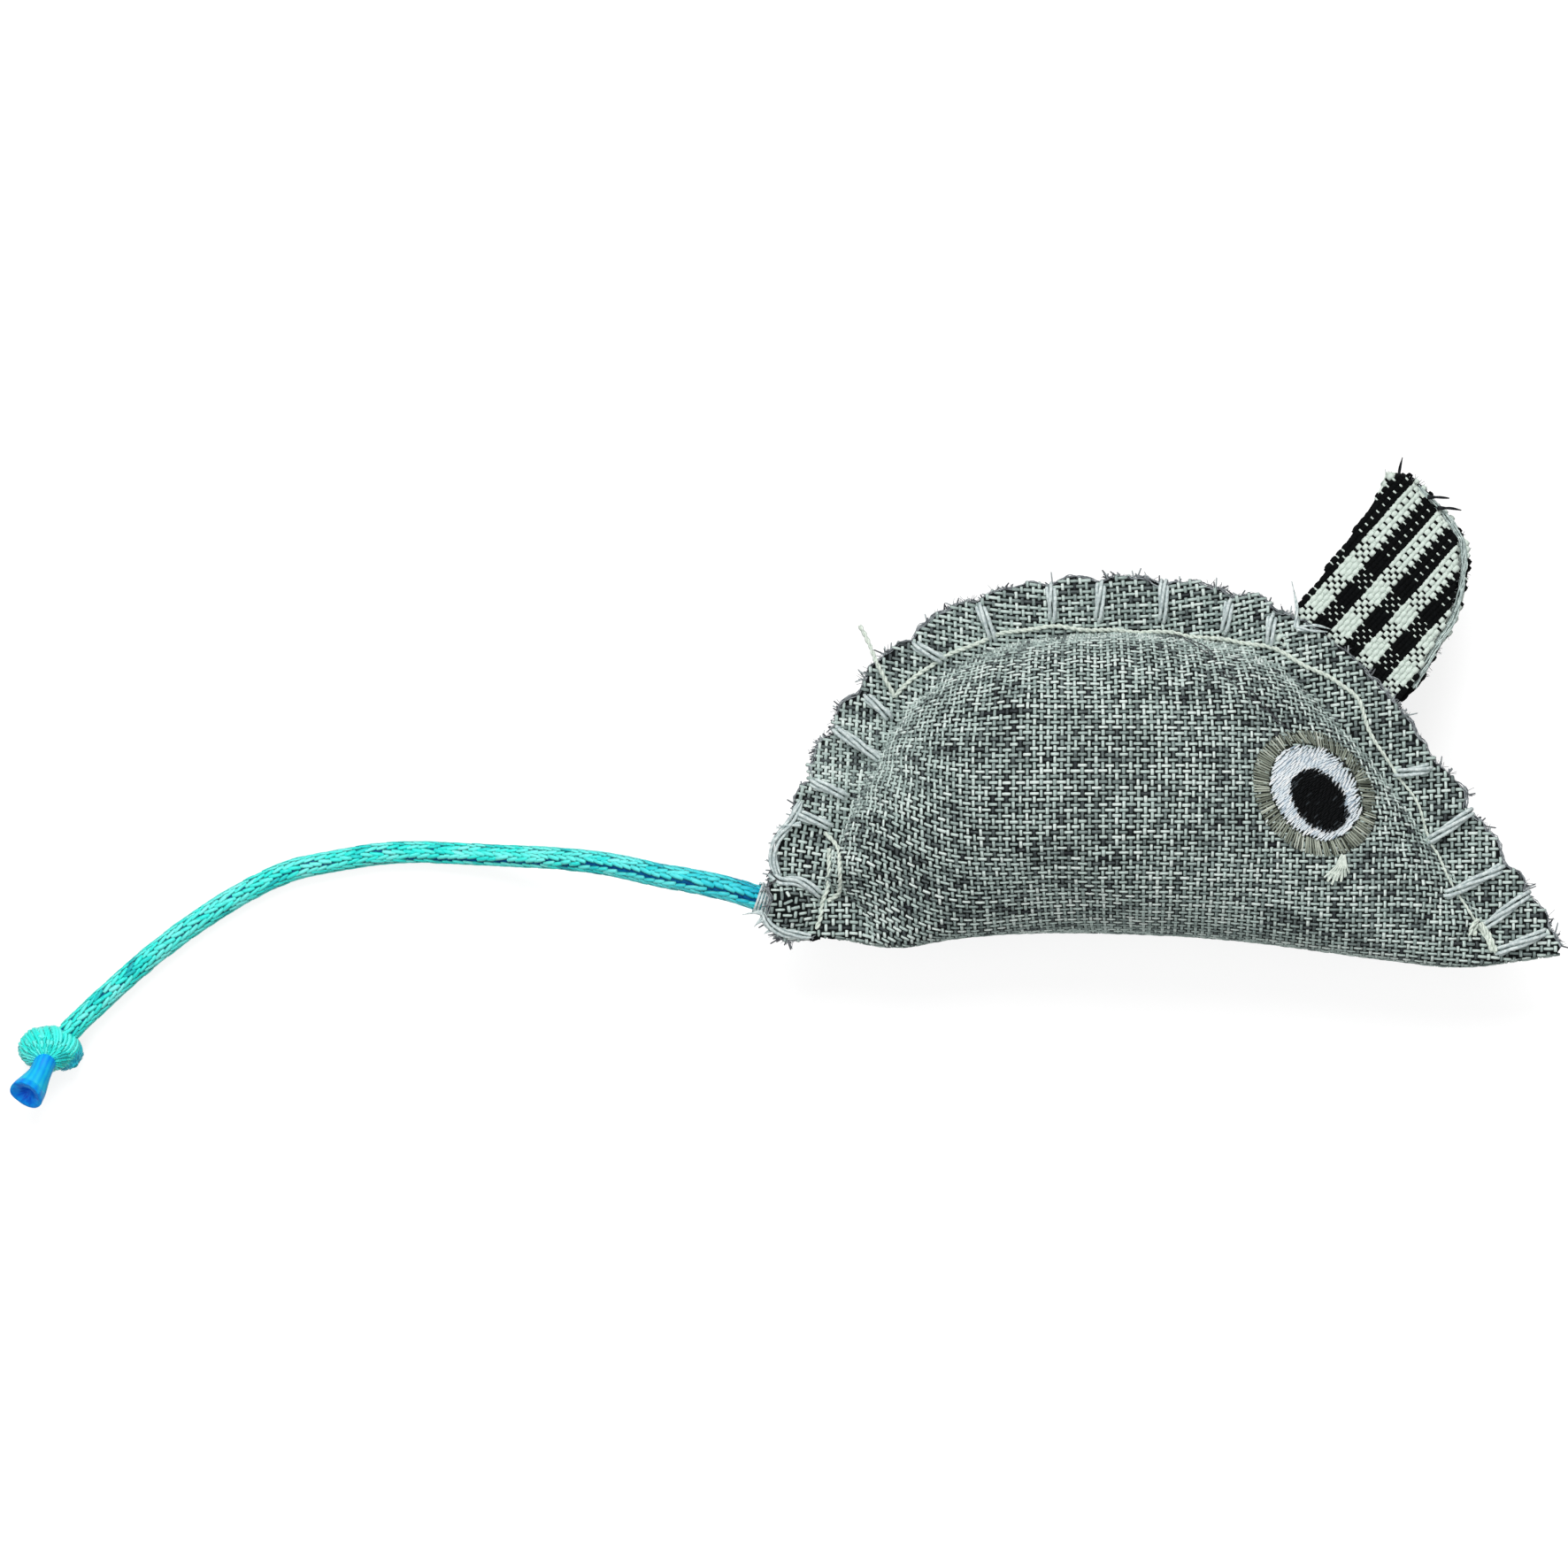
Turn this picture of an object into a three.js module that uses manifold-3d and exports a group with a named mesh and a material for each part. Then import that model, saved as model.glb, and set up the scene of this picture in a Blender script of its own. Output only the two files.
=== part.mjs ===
// Catnip mouse: a stuffed cloth toy that lies on its side.
// Millimetres. +X runs to the nose, +Y to the back, +Z up from the surface the toy lies on.
// The origin is on the flat of the resting side, under the fullest part of the body.
import * as THREE from "three";
import { mergeVertices } from "three/addons/utils/BufferGeometryUtils.js";
import Module from "manifold-3d";

const wasm = await Module();
wasm.setup();

// Cover: one cloth, folded along the belly and sewn round the tail, back and nose.
const BODY_LENGTH = 80.4;
const BODY_HEIGHT = 38.9;
const BODY_THICKNESS = 24;
const CLOTH = 0.6;
const SEAM_ALLOWANCE = 5.6;
const REST_FLAT = 0.5; // how far the resting side is pressed flat
const CLEARANCE = 0.3; // between any two pieces that touch

// Outlines, as shares of the body's length from the tail and of its height from the belly.
const ORIGIN_SHARE = [0.4117, 0.4756];
const RAW_EDGE = [
  [0.065, 0.08], [0.022, 0.1], [0, 0.177], [0.025, 0.298], [0.076, 0.55],
  [0.15, 0.782], [0.269, 0.946], [0.423, 1], [0.543, 0.982], [0.666, 0.91],
  [0.794, 0.668], [0.88, 0.429], [0.95, 0.224], [1, 0.054],
];
const BELLY_FOLD = [
  [0.086, 0.078], [0.158, 0.066], [0.335, 0.095], [0.467, 0.093], [0.6, 0.075],
  [0.798, 0.022], [0.876, 0.008], [0.994, 0.036],
];

// Stuffing: how the panels swell from the seam and from the fold, and how much the head is slimmer.
const SEAM_POWER = 0.55;
const FOLD_POWER = 0.5;
const HEAD_SLIMMING = 0.3;
const HEAD_STARTS = 0.35; // share of the body's length
const FILLINGS = [
  { name: "rear_wadding", from: 0.14, to: 0.44, color: "wadding" },
  { name: "catnip_filling", from: 0.44, to: 0.6, color: "catnip" },
  { name: "head_wadding", from: 0.6, to: 0.93, color: "wadding" },
];

// Sewing: the white seam thread, and the yarn whipped over the raw edge.
const THREAD = 0.45;
const THREAD_RUN = [0.125, 0.955]; // shares along the raw edge
const YARN = 0.9;
const STITCH_RUNS = [
  { from: 0.11, to: 0.625, count: 12 },
  { from: 0.825, to: 0.96, count: 5 },
];

// Ears: two leaves of cloth, outlined in shares of their width and length from the middle of the base.
const EAR_WIDTH = 16.8;
const EAR_LENGTH = 17.8;
const EAR_SHARE = 0.7; // along the raw edge
const EAR_CUP = 0.8;
const EAR_LEFT = [[-0.395, 0], [-0.585, 0.885]];
const EAR_RIGHT = [
  [0.395, 0], [0.413, 0.172], [0.403, 0.389], [0.309, 0.644], [0.093, 0.9],
  [-0.1, 0.994], [-0.4, 0.975], [-0.5, 0.94],
];

// Eyes: embroidered ovals, each size a half axis along and across the tilt.
const EYE_SHARE = [0.695, 0.447];
const EYE_TILT = -0.76;
const PUPIL = [3.2, 2.4];
const WHITE_WIDTH = 1.5;
const RIM_WIDTH = 1.3;
const EMBROIDERY = 0.8; // height of the satin stitches

// Tail: a satin cord, bound with yarn where it leaves the seam and knotted at its end.
const TAIL = 2.2;
const TAIL_SHARE = 0.062; // along the raw edge
const TAIL_ANGLE = 2.92; // direction it leaves in, from +X
const ROOT_INSIDE = 3;
const ROOT_OUTSIDE = 3.2;
const BINDING_YARN = 0.6;
const BINDING_TURNS = 2;
const BINDING_GAP = 0.45;
const KNOT_LENGTH = 6.4;
const KNOT_RADIUS = 2.3;
const KNOT_PLACE = [-66.4, -16.4]; // from the tail's hinge
const KNOT_ANGLE = -0.15; // of its length, from +X
const TIP_LENGTH = 3.2;
const TIP_ANGLE = 4.12; // direction of the cut end, from +X
// Cord route: X and Y from the tail's hinge, and height as a share of the hinge's height over the lying cord.
const TAIL_ROUTE = [
  [0, 0, 1], [-2.4, 0.5, 0.98], [-4.9, 0.9, 0.92], [-9.4, 1.9, 0.73], [-13.8, 2.5, 0.5],
  [-18.2, 2.8, 0.28], [-22.6, 3, 0.12], [-27.1, 3.2, 0.03], [-29.3, 3.3, 0.01], [-33.7, 3.1, 0.005],
  [-38.1, 2.4, 0.005], [-42.6, 1.4, 0.005], [-47, -0.6, 0.005], [-51.4, -3.3, 0.01], [-55.9, -6.6, 0.04],
  [-60.3, -10.4, 0.09], [-64.1, -14, 0.12],
];

const COLORS = {
  cover: 0x7f8886, wadding: 0xf2f0ea, catnip: 0x7c8452, thread: 0xd8dcd2, yarn: 0x9fb0b2, ear: 0x6a6c6a,
  pupil: 0x101214, white: 0xdde8ee, rim: 0x6f6c62, satin: 0x35cfd0, melted: 0x1f7fd0,
};

const gapAcross = CLEARANCE / 2; // each layer of cloth lies half a clearance off the seam plane
const clothMiddle = gapAcross + CLOTH / 2;
const clothFace = gapAcross + CLOTH;
const seamHeight = BODY_THICKNESS / 2 - REST_FLAT;
const threadInset = SEAM_ALLOWANCE - CLOTH / 2 - CLEARANCE - THREAD / 2;
const holeInset = threadInset - THREAD / 2 - CLEARANCE - YARN / 2;
const yarnLift = clothFace + CLEARANCE + YARN / 2;

const toPlace = ([along, up]) =>
  new THREE.Vector3((along - ORIGIN_SHARE[0]) * BODY_LENGTH, (up - ORIGIN_SHARE[1]) * BODY_HEIGHT, 0);
const smooth = (points) => new THREE.CatmullRomCurve3(points, false, "centripetal");
const rawEdge = smooth(RAW_EDGE.map(toPlace));
const bellyFold = smooth(BELLY_FOLD.map(toPlace));
const OUTLINE_STEPS = 240;
const edgeLine = rawEdge.getSpacedPoints(OUTLINE_STEPS);
const foldLine = bellyFold.getSpacedPoints(OUTLINE_STEPS);

// Direction out of the cloth across the raw edge.
function edgeNormal(share) {
  const along = rawEdge.getTangentAt(share);
  return new THREE.Vector3(-along.y, along.x, 0);
}

// Point at a distance inside the raw edge, at a height over the seam plane.
function offEdge(share, inset, lift) {
  const point = rawEdge.getPointAt(share).addScaledVector(edgeNormal(share), -inset);
  return point.setZ(seamHeight + lift);
}

function distanceTo(line, point) {
  const segment = new THREE.Line3();
  const nearest = new THREE.Vector3();
  let least = Infinity;
  for (let i = 1; i < line.length; i++) {
    segment.set(line[i - 1], line[i]).closestPointToPoint(point, true, nearest);
    least = Math.min(least, nearest.distanceTo(point));
  }
  return least;
}

// Tail root: the cord parts the two layers where it is sewn in.
const tailMouth = rawEdge.getPointAt(TAIL_SHARE);
const tailOut = new THREE.Vector3(Math.cos(TAIL_ANGLE), Math.sin(TAIL_ANGLE), 0);
const TUNNEL_WIDTH = 2 * TAIL;
function tailTunnel(point) {
  const from = point.clone().sub(tailMouth);
  const inside = -from.dot(tailOut);
  const aside = Math.hypot(from.x, from.y) ** 2 - inside ** 2;
  const near = Math.min(1, Math.sqrt(Math.max(0, aside)) / TUNNEL_WIDTH);
  const fade = 1 - THREE.MathUtils.smoothstep(inside, ROOT_INSIDE + CLOTH, ROOT_INSIDE + 2 * TAIL);
  return (TAIL / 2 + CLEARANCE + CLOTH) * (0.5 + 0.5 * Math.cos(Math.PI * near)) * fade;
}

// Swell of a panel over the seam allowance, before it is scaled to the body's thickness.
function swell(point) {
  const fromSeam = Math.max(0, distanceTo(edgeLine, point) - SEAM_ALLOWANCE);
  const fromFold = distanceTo(foldLine, point);
  const along = point.x / BODY_LENGTH + ORIGIN_SHARE[0];
  const head = Math.max(0, (along - HEAD_STARTS) / (1 - HEAD_STARTS));
  return fromSeam ** SEAM_POWER * fromFold ** FOLD_POWER * (1 - HEAD_SLIMMING * head);
}

// Sections of the cover run from the fold to the raw edge. They lie closer round the tail.
const TAIL_SECTIONS = [-0.75, -0.46, -0.22, 0, 0.22, 0.46, 0.75, 1.3]; // tunnel widths from the tail
const EVEN_SECTIONS = 21;
const tailShares = TAIL_SECTIONS.map((part) => TAIL_SHARE + (part * TUNNEL_WIDTH) / rawEdge.getLength());
const evenShares = Array.from({ length: EVEN_SECTIONS }, (_, i) =>
  THREE.MathUtils.lerp(tailShares.at(-1), 1, (i + 1) / EVEN_SECTIONS));
const sectionShares = [0, ...tailShares, ...evenShares];
const PANEL_ROWS = [0, 0.03, 0.12, 0.25, 0.4, 0.6, 0.8, 0.94, 1]; // shares from the fold to the seam
const ALLOWANCE_ROWS = [0.3, 0.65, 1]; // shares from the seam to the raw edge
const LEAST_PANEL = 0.2;
const BISECTIONS = 30;

// Share of a section that lies between the fold and the seam.
function seamShare(fold, edge) {
  let low = 0;
  let high = 1;
  for (let i = 0; i < BISECTIONS; i++) {
    const middle = (low + high) / 2;
    const inside = distanceTo(edgeLine, fold.clone().lerp(edge, middle)) > SEAM_ALLOWANCE;
    if (inside) low = middle;
    else high = middle;
  }
  return Math.max(LEAST_PANEL, low);
}

const sections = sectionShares.map((share) => {
  const fold = bellyFold.getPointAt(share);
  const edge = rawEdge.getPointAt(share);
  const seam = seamShare(fold, edge);
  const rows = PANEL_ROWS.map((row) => row * seam);
  for (const row of ALLOWANCE_ROWS) rows.push(seam + row * (1 - seam));
  return rows.map((row) => fold.clone().lerp(edge, row));
});
const fullest = Math.max(...sections.flat().map(swell));
const swellScale = (BODY_THICKNESS / 2 - clothMiddle - CLOTH / 2) / fullest;

// Height of the middle of the cloth over the seam plane: round at the fold, flat at the seam allowance.
function clothHeight(point) {
  const fromFold = distanceTo(foldLine, point);
  const turn = 1 - Math.min(1, fromFold / clothMiddle);
  const folded = clothMiddle * Math.sqrt(1 - turn * turn);
  return Math.max(folded + swell(point) * swellScale, Math.min(tailTunnel(point), fromFold));
}

// Grid of the cloth's middle: one row from the far raw edge over the fold to the near raw edge.
const LAST_ROW = sections[0].length - 1;
const clothGrid = sections.map((section) => {
  const line = [];
  for (let row = -LAST_ROW; row <= LAST_ROW; row++) {
    const point = section[Math.abs(row)];
    const height = clothHeight(point);
    line.push(point.clone().setZ(seamHeight + (row < 0 ? -height : height)));
  }
  return line;
});

// Outward normals of a grid, from the neighbours of each point.
function gridNormals(grid) {
  const at = (i, j) => grid[THREE.MathUtils.clamp(i, 0, grid.length - 1)][
    THREE.MathUtils.clamp(j, 0, grid[0].length - 1)
  ];
  return grid.map((line, i) => line.map((_, j) => {
    const along = at(i + 1, j).clone().sub(at(i - 1, j));
    const across = at(i, j + 1).clone().sub(at(i, j - 1));
    return along.cross(across).normalize();
  }));
}
const clothNormals = gridNormals(clothGrid);

// Face of the cloth, or a layer under it, at a depth from the outer face. The resting side is pressed flat.
function layer(depth) {
  return clothGrid.map((line, i) => line.map((point, j) => {
    const moved = point.clone().addScaledVector(clothNormals[i][j], CLOTH / 2 - depth);
    return moved.setZ(Math.max(moved.z, depth));
  }));
}
const coverOutside = layer(0);
const coverInside = layer(CLOTH);

// Closed geometry from triangles of points, turned outwards.
function closedGeometry(triangles) {
  const loose = new THREE.BufferGeometry().setFromPoints(triangles.flat());
  const merged = mergeVertices(loose, 1e-4);
  const kept = [];
  const index = merged.index.array;
  for (let i = 0; i < index.length; i += 3) {
    const [a, b, c] = [index[i], index[i + 1], index[i + 2]];
    if (a !== b && b !== c && a !== c) kept.push(a, b, c);
  }
  const corner = (i) => new THREE.Vector3().fromBufferAttribute(merged.attributes.position, kept[i]);
  let volume = 0;
  for (let i = 0; i < kept.length; i += 3) volume += corner(i).dot(corner(i + 1).cross(corner(i + 2)));
  merged.setIndex(volume < 0 ? kept.reverse() : kept);
  return merged;
}

const quad = (a, b, c, d) => [[a, b, c], [a, c, d]];

// Solid between two grids of the same size. A ring's columns close on themselves.
function between(top, bottom, ring = false) {
  const rows = top.length - 1;
  const columns = top[0].length - (ring ? 0 : 1);
  const next = (j) => (j + 1) % top[0].length;
  const triangles = [];
  for (let i = 0; i < rows; i++) {
    for (let j = 0; j < columns; j++) {
      triangles.push(...quad(top[i][j], top[i + 1][j], top[i + 1][next(j)], top[i][next(j)]));
      triangles.push(...quad(bottom[i][j], bottom[i][next(j)], bottom[i + 1][next(j)], bottom[i + 1][j]));
    }
    if (ring) continue;
    triangles.push(...quad(top[i][0], bottom[i][0], bottom[i + 1][0], top[i + 1][0]));
    triangles.push(...quad(
      top[i][columns], top[i + 1][columns], bottom[i + 1][columns], bottom[i][columns],
    ));
  }
  for (let j = 0; j < columns; j++) {
    triangles.push(...quad(top[0][j], top[0][next(j)], bottom[0][next(j)], bottom[0][j]));
    triangles.push(...quad(top[rows][j], bottom[rows][j], bottom[rows][next(j)], top[rows][next(j)]));
  }
  return closedGeometry(triangles);
}

// Solid through closed sections with the same number of points.
function loft(loops) {
  const count = loops[0].length;
  const triangles = [];
  for (let i = 1; i < loops.length; i++) {
    for (let j = 0; j < count; j++) {
      const k = (j + 1) % count;
      triangles.push(...quad(loops[i - 1][j], loops[i][j], loops[i][k], loops[i - 1][k]));
    }
  }
  const middle = (loop) => loop.reduce((sum, p) => sum.add(p), new THREE.Vector3()).divideScalar(count);
  const [first, last] = [loops[0], loops.at(-1)];
  for (let j = 0; j < count; j++) {
    const k = (j + 1) % count;
    triangles.push([middle(first), first[j], first[k]]);
    triangles.push([middle(last), last[k], last[j]]);
  }
  return closedGeometry(triangles);
}

// Round tube along a curve.
function tube(curve, diameter, sides, steps) {
  const corners = Array.from({ length: sides }, (_, i) => {
    const angle = (2 * Math.PI * i) / sides;
    return new THREE.Vector2(Math.cos(angle), Math.sin(angle)).multiplyScalar(diameter / 2);
  });
  const section = new THREE.Shape(corners);
  return new THREE.ExtrudeGeometry(section, { extrudePath: curve, steps, bevelEnabled: false });
}

function solidOf(geometry) {
  const bare = geometry.clone();
  bare.deleteAttribute("normal");
  bare.deleteAttribute("uv");
  const merged = mergeVertices(bare, 1e-4);
  return new wasm.Manifold(new wasm.Mesh({
    numProp: 3,
    vertProperties: new Float32Array(merged.attributes.position.array),
    triVerts: new Uint32Array(merged.index.array),
  }));
}

function geometryOf(solid) {
  const { vertProperties, triVerts } = solid.getMesh();
  return new THREE.BufferGeometry()
    .setAttribute("position", new THREE.BufferAttribute(vertProperties, 3))
    .setIndex(new THREE.BufferAttribute(triVerts, 1));
}

const toy = new THREE.Group();
function addPiece(name, geometry, color, roughness, parent = toy) {
  const piece = new THREE.Mesh(geometry, new THREE.MeshStandardMaterial({ color, roughness, metalness: 0 }));
  piece.name = name;
  parent.add(piece);
  return piece;
}

// Stitches of the whipped yarn: each goes up a hole, over the raw edge and on to the next hole.
const stitchShares = STITCH_RUNS.flatMap(({ from, to, count }) =>
  Array.from({ length: count }, (_, i) => THREE.MathUtils.lerp(from, to, i / (count - 1))));

function whippedYarnPoints() {
  const points = [];
  const turnIn = yarnLift - clothFace; // where the yarn starts to bend towards the cloth's face
  const overEdge = CLEARANCE + YARN / 2;
  stitchShares.forEach((share, i) => {
    const add = (inset, lift) => points.push(offEdge(share, inset, lift));
    if (i === 0) add(holeInset, -yarnLift - YARN);
    else add(holeInset - turnIn, -yarnLift);
    add(holeInset, -clothFace);
    add(holeInset, clothFace);
    if (i === stitchShares.length - 1) {
      add(holeInset, yarnLift + YARN);
      return;
    }
    add(holeInset - turnIn, yarnLift);
    add(YARN / 2, yarnLift);
    add(-overEdge, yarnLift * Math.SQRT1_2);
    add(-overEdge * Math.SQRT2, 0);
    add(-overEdge, -yarnLift * Math.SQRT1_2);
    add(YARN / 2, -yarnLift);
    const next = stitchShares[i + 1];
    const middle = (share + next) / 2;
    points.push(offEdge(middle, holeInset / 2, -yarnLift));
  });
  return points;
}
const STEPS_PER_STITCH = 17;
const YARN_SIDES = 6;
const yarnCurve = smooth(whippedYarnPoints());
const yarnSteps = STEPS_PER_STITCH * (stitchShares.length - 1);

// Least distance between the skins of a tube's turns, on points more than a turn's bend apart.
function leastSelfGap(curve, diameter, steps, apart) {
  const points = curve.getSpacedPoints(steps);
  const spacing = curve.getLength() / steps;
  let least = Infinity;
  points.forEach((point, i) => {
    for (let j = i + Math.ceil(apart / spacing); j < points.length; j++) {
      least = Math.min(least, point.distanceTo(points[j]) - diameter);
    }
  });
  return least;
}

// Cover, with a hole through both layers for each stitch.
function makeCover() {
  let cover = solidOf(between(coverOutside, coverInside));
  const holeRadius = YARN / 2 + CLEARANCE;
  for (const share of stitchShares) {
    const hole = new THREE.CylinderGeometry(holeRadius, holeRadius, 2 * (yarnLift + YARN), YARN_SIDES);
    hole.rotateX(Math.PI / 2);
    hole.translate(...offEdge(share, holeInset, 0));
    cover = cover.subtract(solidOf(hole));
  }
  addPiece("body_cover", geometryOf(cover), COLORS.cover, 0.95);
}

// Fillings follow the inside of the cover, a clearance off the cloth and off each other.
function makeFillings() {
  const inset = layer(CLOTH + CLEARANCE);
  const seamRow = PANEL_ROWS.length - 1;
  const loopAt = (share) => {
    const after = Math.max(1, sectionShares.findIndex((s) => s >= share));
    const part = (share - sectionShares[after - 1]) / (sectionShares[after] - sectionShares[after - 1]);
    const loop = [];
    for (let row = 1 - seamRow; row < seamRow; row++) {
      const column = row + LAST_ROW;
      loop.push(inset[after - 1][column].clone().lerp(inset[after][column], part));
    }
    return loop;
  };
  const half = CLEARANCE / 2 / bellyFold.getLength();
  for (const { name, from, to, color } of FILLINGS) {
    const inner = sectionShares.filter((share) => share > from + 2 * half && share < to - 2 * half);
    addPiece(name, loft([from + half, ...inner, to - half].map(loopAt)), COLORS[color], 1);
  }
}

// Seam thread: one thread shows on the near side, the other on the far side.
function makeThreads() {
  const THREAD_STEPS = 44;
  for (const [name, side] of [["near_seam_thread", 1], ["far_seam_thread", -1]]) {
    const lift = side * (clothFace + CLEARANCE + THREAD / 2);
    const points = [];
    for (let i = 0; i <= THREAD_STEPS; i++) {
      points.push(offEdge(THREE.MathUtils.lerp(...THREAD_RUN, i / THREAD_STEPS), threadInset, lift));
    }
    addPiece(name, tube(smooth(points), THREAD, YARN_SIDES, THREAD_STEPS), COLORS.thread, 0.8);
  }
}

function makeEdgeYarn() {
  addPiece("edge_yarn", tube(yarnCurve, YARN, YARN_SIDES, yarnSteps), COLORS.yarn, 0.85);
  const gap = leastSelfGap(yarnCurve, YARN, yarnSteps * 2, 4 * yarnLift);
  console.log("edge_yarn least gap to itself " + gap.toFixed(2) + " mm");
}

// Height of the cover's outer face at a place, on the near or the far side.
function coverFace(x, y, side) {
  const ray = new THREE.Ray(new THREE.Vector3(x, y, seamHeight), new THREE.Vector3(0, 0, side));
  const hit = new THREE.Vector3();
  let height = 0;
  for (let i = 1; i < coverOutside.length; i++) {
    for (let j = 1; j < coverOutside[0].length; j++) {
      const [a, b] = [coverOutside[i - 1][j - 1], coverOutside[i][j - 1]];
      const [c, d] = [coverOutside[i][j], coverOutside[i - 1][j]];
      for (const corners of quad(a, b, c, d)) {
        if (!ray.intersectTriangle(...corners, false, hit)) continue;
        height = Math.max(height, side * (hit.z - seamHeight));
      }
    }
  }
  return height;
}

// Embroidered oval ring, or disc where the inner size is nought, lying on the cover.
function embroidery(inner, outer, side) {
  const SPOKES = 28;
  const PROFILE = [[0, 0.6], [0.3, 1], [0.7, 1], [1, 0.6]]; // share across the ring, share of the height
  const middle = toPlace(EYE_SHARE);
  const top = [];
  const bottom = [];
  for (const [across, high] of PROFILE) {
    const reach = [0, 1].map((axis) => THREE.MathUtils.lerp(inner[axis], outer[axis], across));
    const upper = [];
    const lower = [];
    for (let i = 0; i < SPOKES; i++) {
      const angle = (2 * Math.PI * i) / SPOKES;
      const spot = new THREE.Vector2(reach[0] * Math.cos(angle), reach[1] * Math.sin(angle));
      spot.rotateAround(new THREE.Vector2(), EYE_TILT);
      const [x, y] = [middle.x + spot.x, middle.y + spot.y];
      const seat = coverFace(x, y, side) + CLEARANCE;
      lower.push(new THREE.Vector3(x, y, seamHeight + side * seat));
      upper.push(new THREE.Vector3(x, y, seamHeight + side * (seat + high * EMBROIDERY)));
    }
    top.push(upper);
    bottom.push(lower);
  }
  return between(top, bottom, true);
}

function makeEyes() {
  const grow = (size, by) => size.map((half) => half + by);
  const whiteInner = grow(PUPIL, CLEARANCE);
  const whiteOuter = grow(whiteInner, WHITE_WIDTH);
  const rimInner = grow(whiteOuter, CLEARANCE);
  const rimOuter = grow(rimInner, RIM_WIDTH);
  for (const [which, side] of [["near", 1], ["far", -1]]) {
    addPiece(which + "_eye_pupil", embroidery([0, 0], PUPIL, side), COLORS.pupil, 0.6);
    addPiece(which + "_eye_white", embroidery(whiteInner, whiteOuter, side), COLORS.white, 0.55);
    addPiece(which + "_eye_rim", embroidery(rimInner, rimOuter, side), COLORS.rim, 0.6);
  }
}

const listed = (values, digits) => values.map((value) => value.toFixed(digits)).join(", ");

// Ears: cupped leaves that hinge at the raw edge, where the cloth bends.
function makeEars() {
  const base = rawEdge.getPointAt(EAR_SHARE);
  const out = edgeNormal(EAR_SHARE);
  const reach = edgeLine.map((point) => point.clone().sub(base))
    .filter((step) => step.length() < EAR_WIDTH / 2)
    .map((step) => step.dot(out));
  base.addScaledVector(out, Math.max(...reach) + CLEARANCE + CLOTH / 2);
  const toEar = ([across, up]) => new THREE.Vector3(across * EAR_WIDTH, up * EAR_LENGTH, 0);
  const left = smooth(EAR_LEFT.map(toEar));
  const right = smooth(EAR_RIGHT.map(toEar));
  const ROWS = 9;
  const COLUMNS = 6;
  for (const [name, side] of [["near_ear", 1], ["far_ear", -1]]) {
    const leaf = new THREE.Group();
    leaf.position.copy(base).setZ(seamHeight);
    leaf.rotation.z = Math.atan2(out.y, out.x) - Math.PI / 2;
    toy.add(leaf);
    const top = [];
    const bottom = [];
    for (let i = 0; i <= ROWS; i++) {
      const [from, to] = [left.getPointAt(i / ROWS), right.getPointAt(i / ROWS)];
      top.push([]);
      bottom.push([]);
      for (let j = 0; j <= COLUMNS; j++) {
        const point = from.clone().lerp(to, j / COLUMNS);
        const cup = EAR_CUP * (i / ROWS) * (2 * (j / COLUMNS) - 1) ** 2;
        top.at(-1).push(point.clone().setZ(side * (clothFace + cup)));
        bottom.at(-1).push(point.clone().setZ(side * (gapAcross + cup)));
      }
    }
    addPiece(name, between(top, bottom), COLORS.ear, 0.9, leaf);
    const hinge = leaf.position.clone().setZ(seamHeight + side * clothMiddle);
    console.log(name + " hinge " + listed(hinge.toArray(), 3) + ", along " + listed([out.y, -out.x], 4));
  }
}

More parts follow.
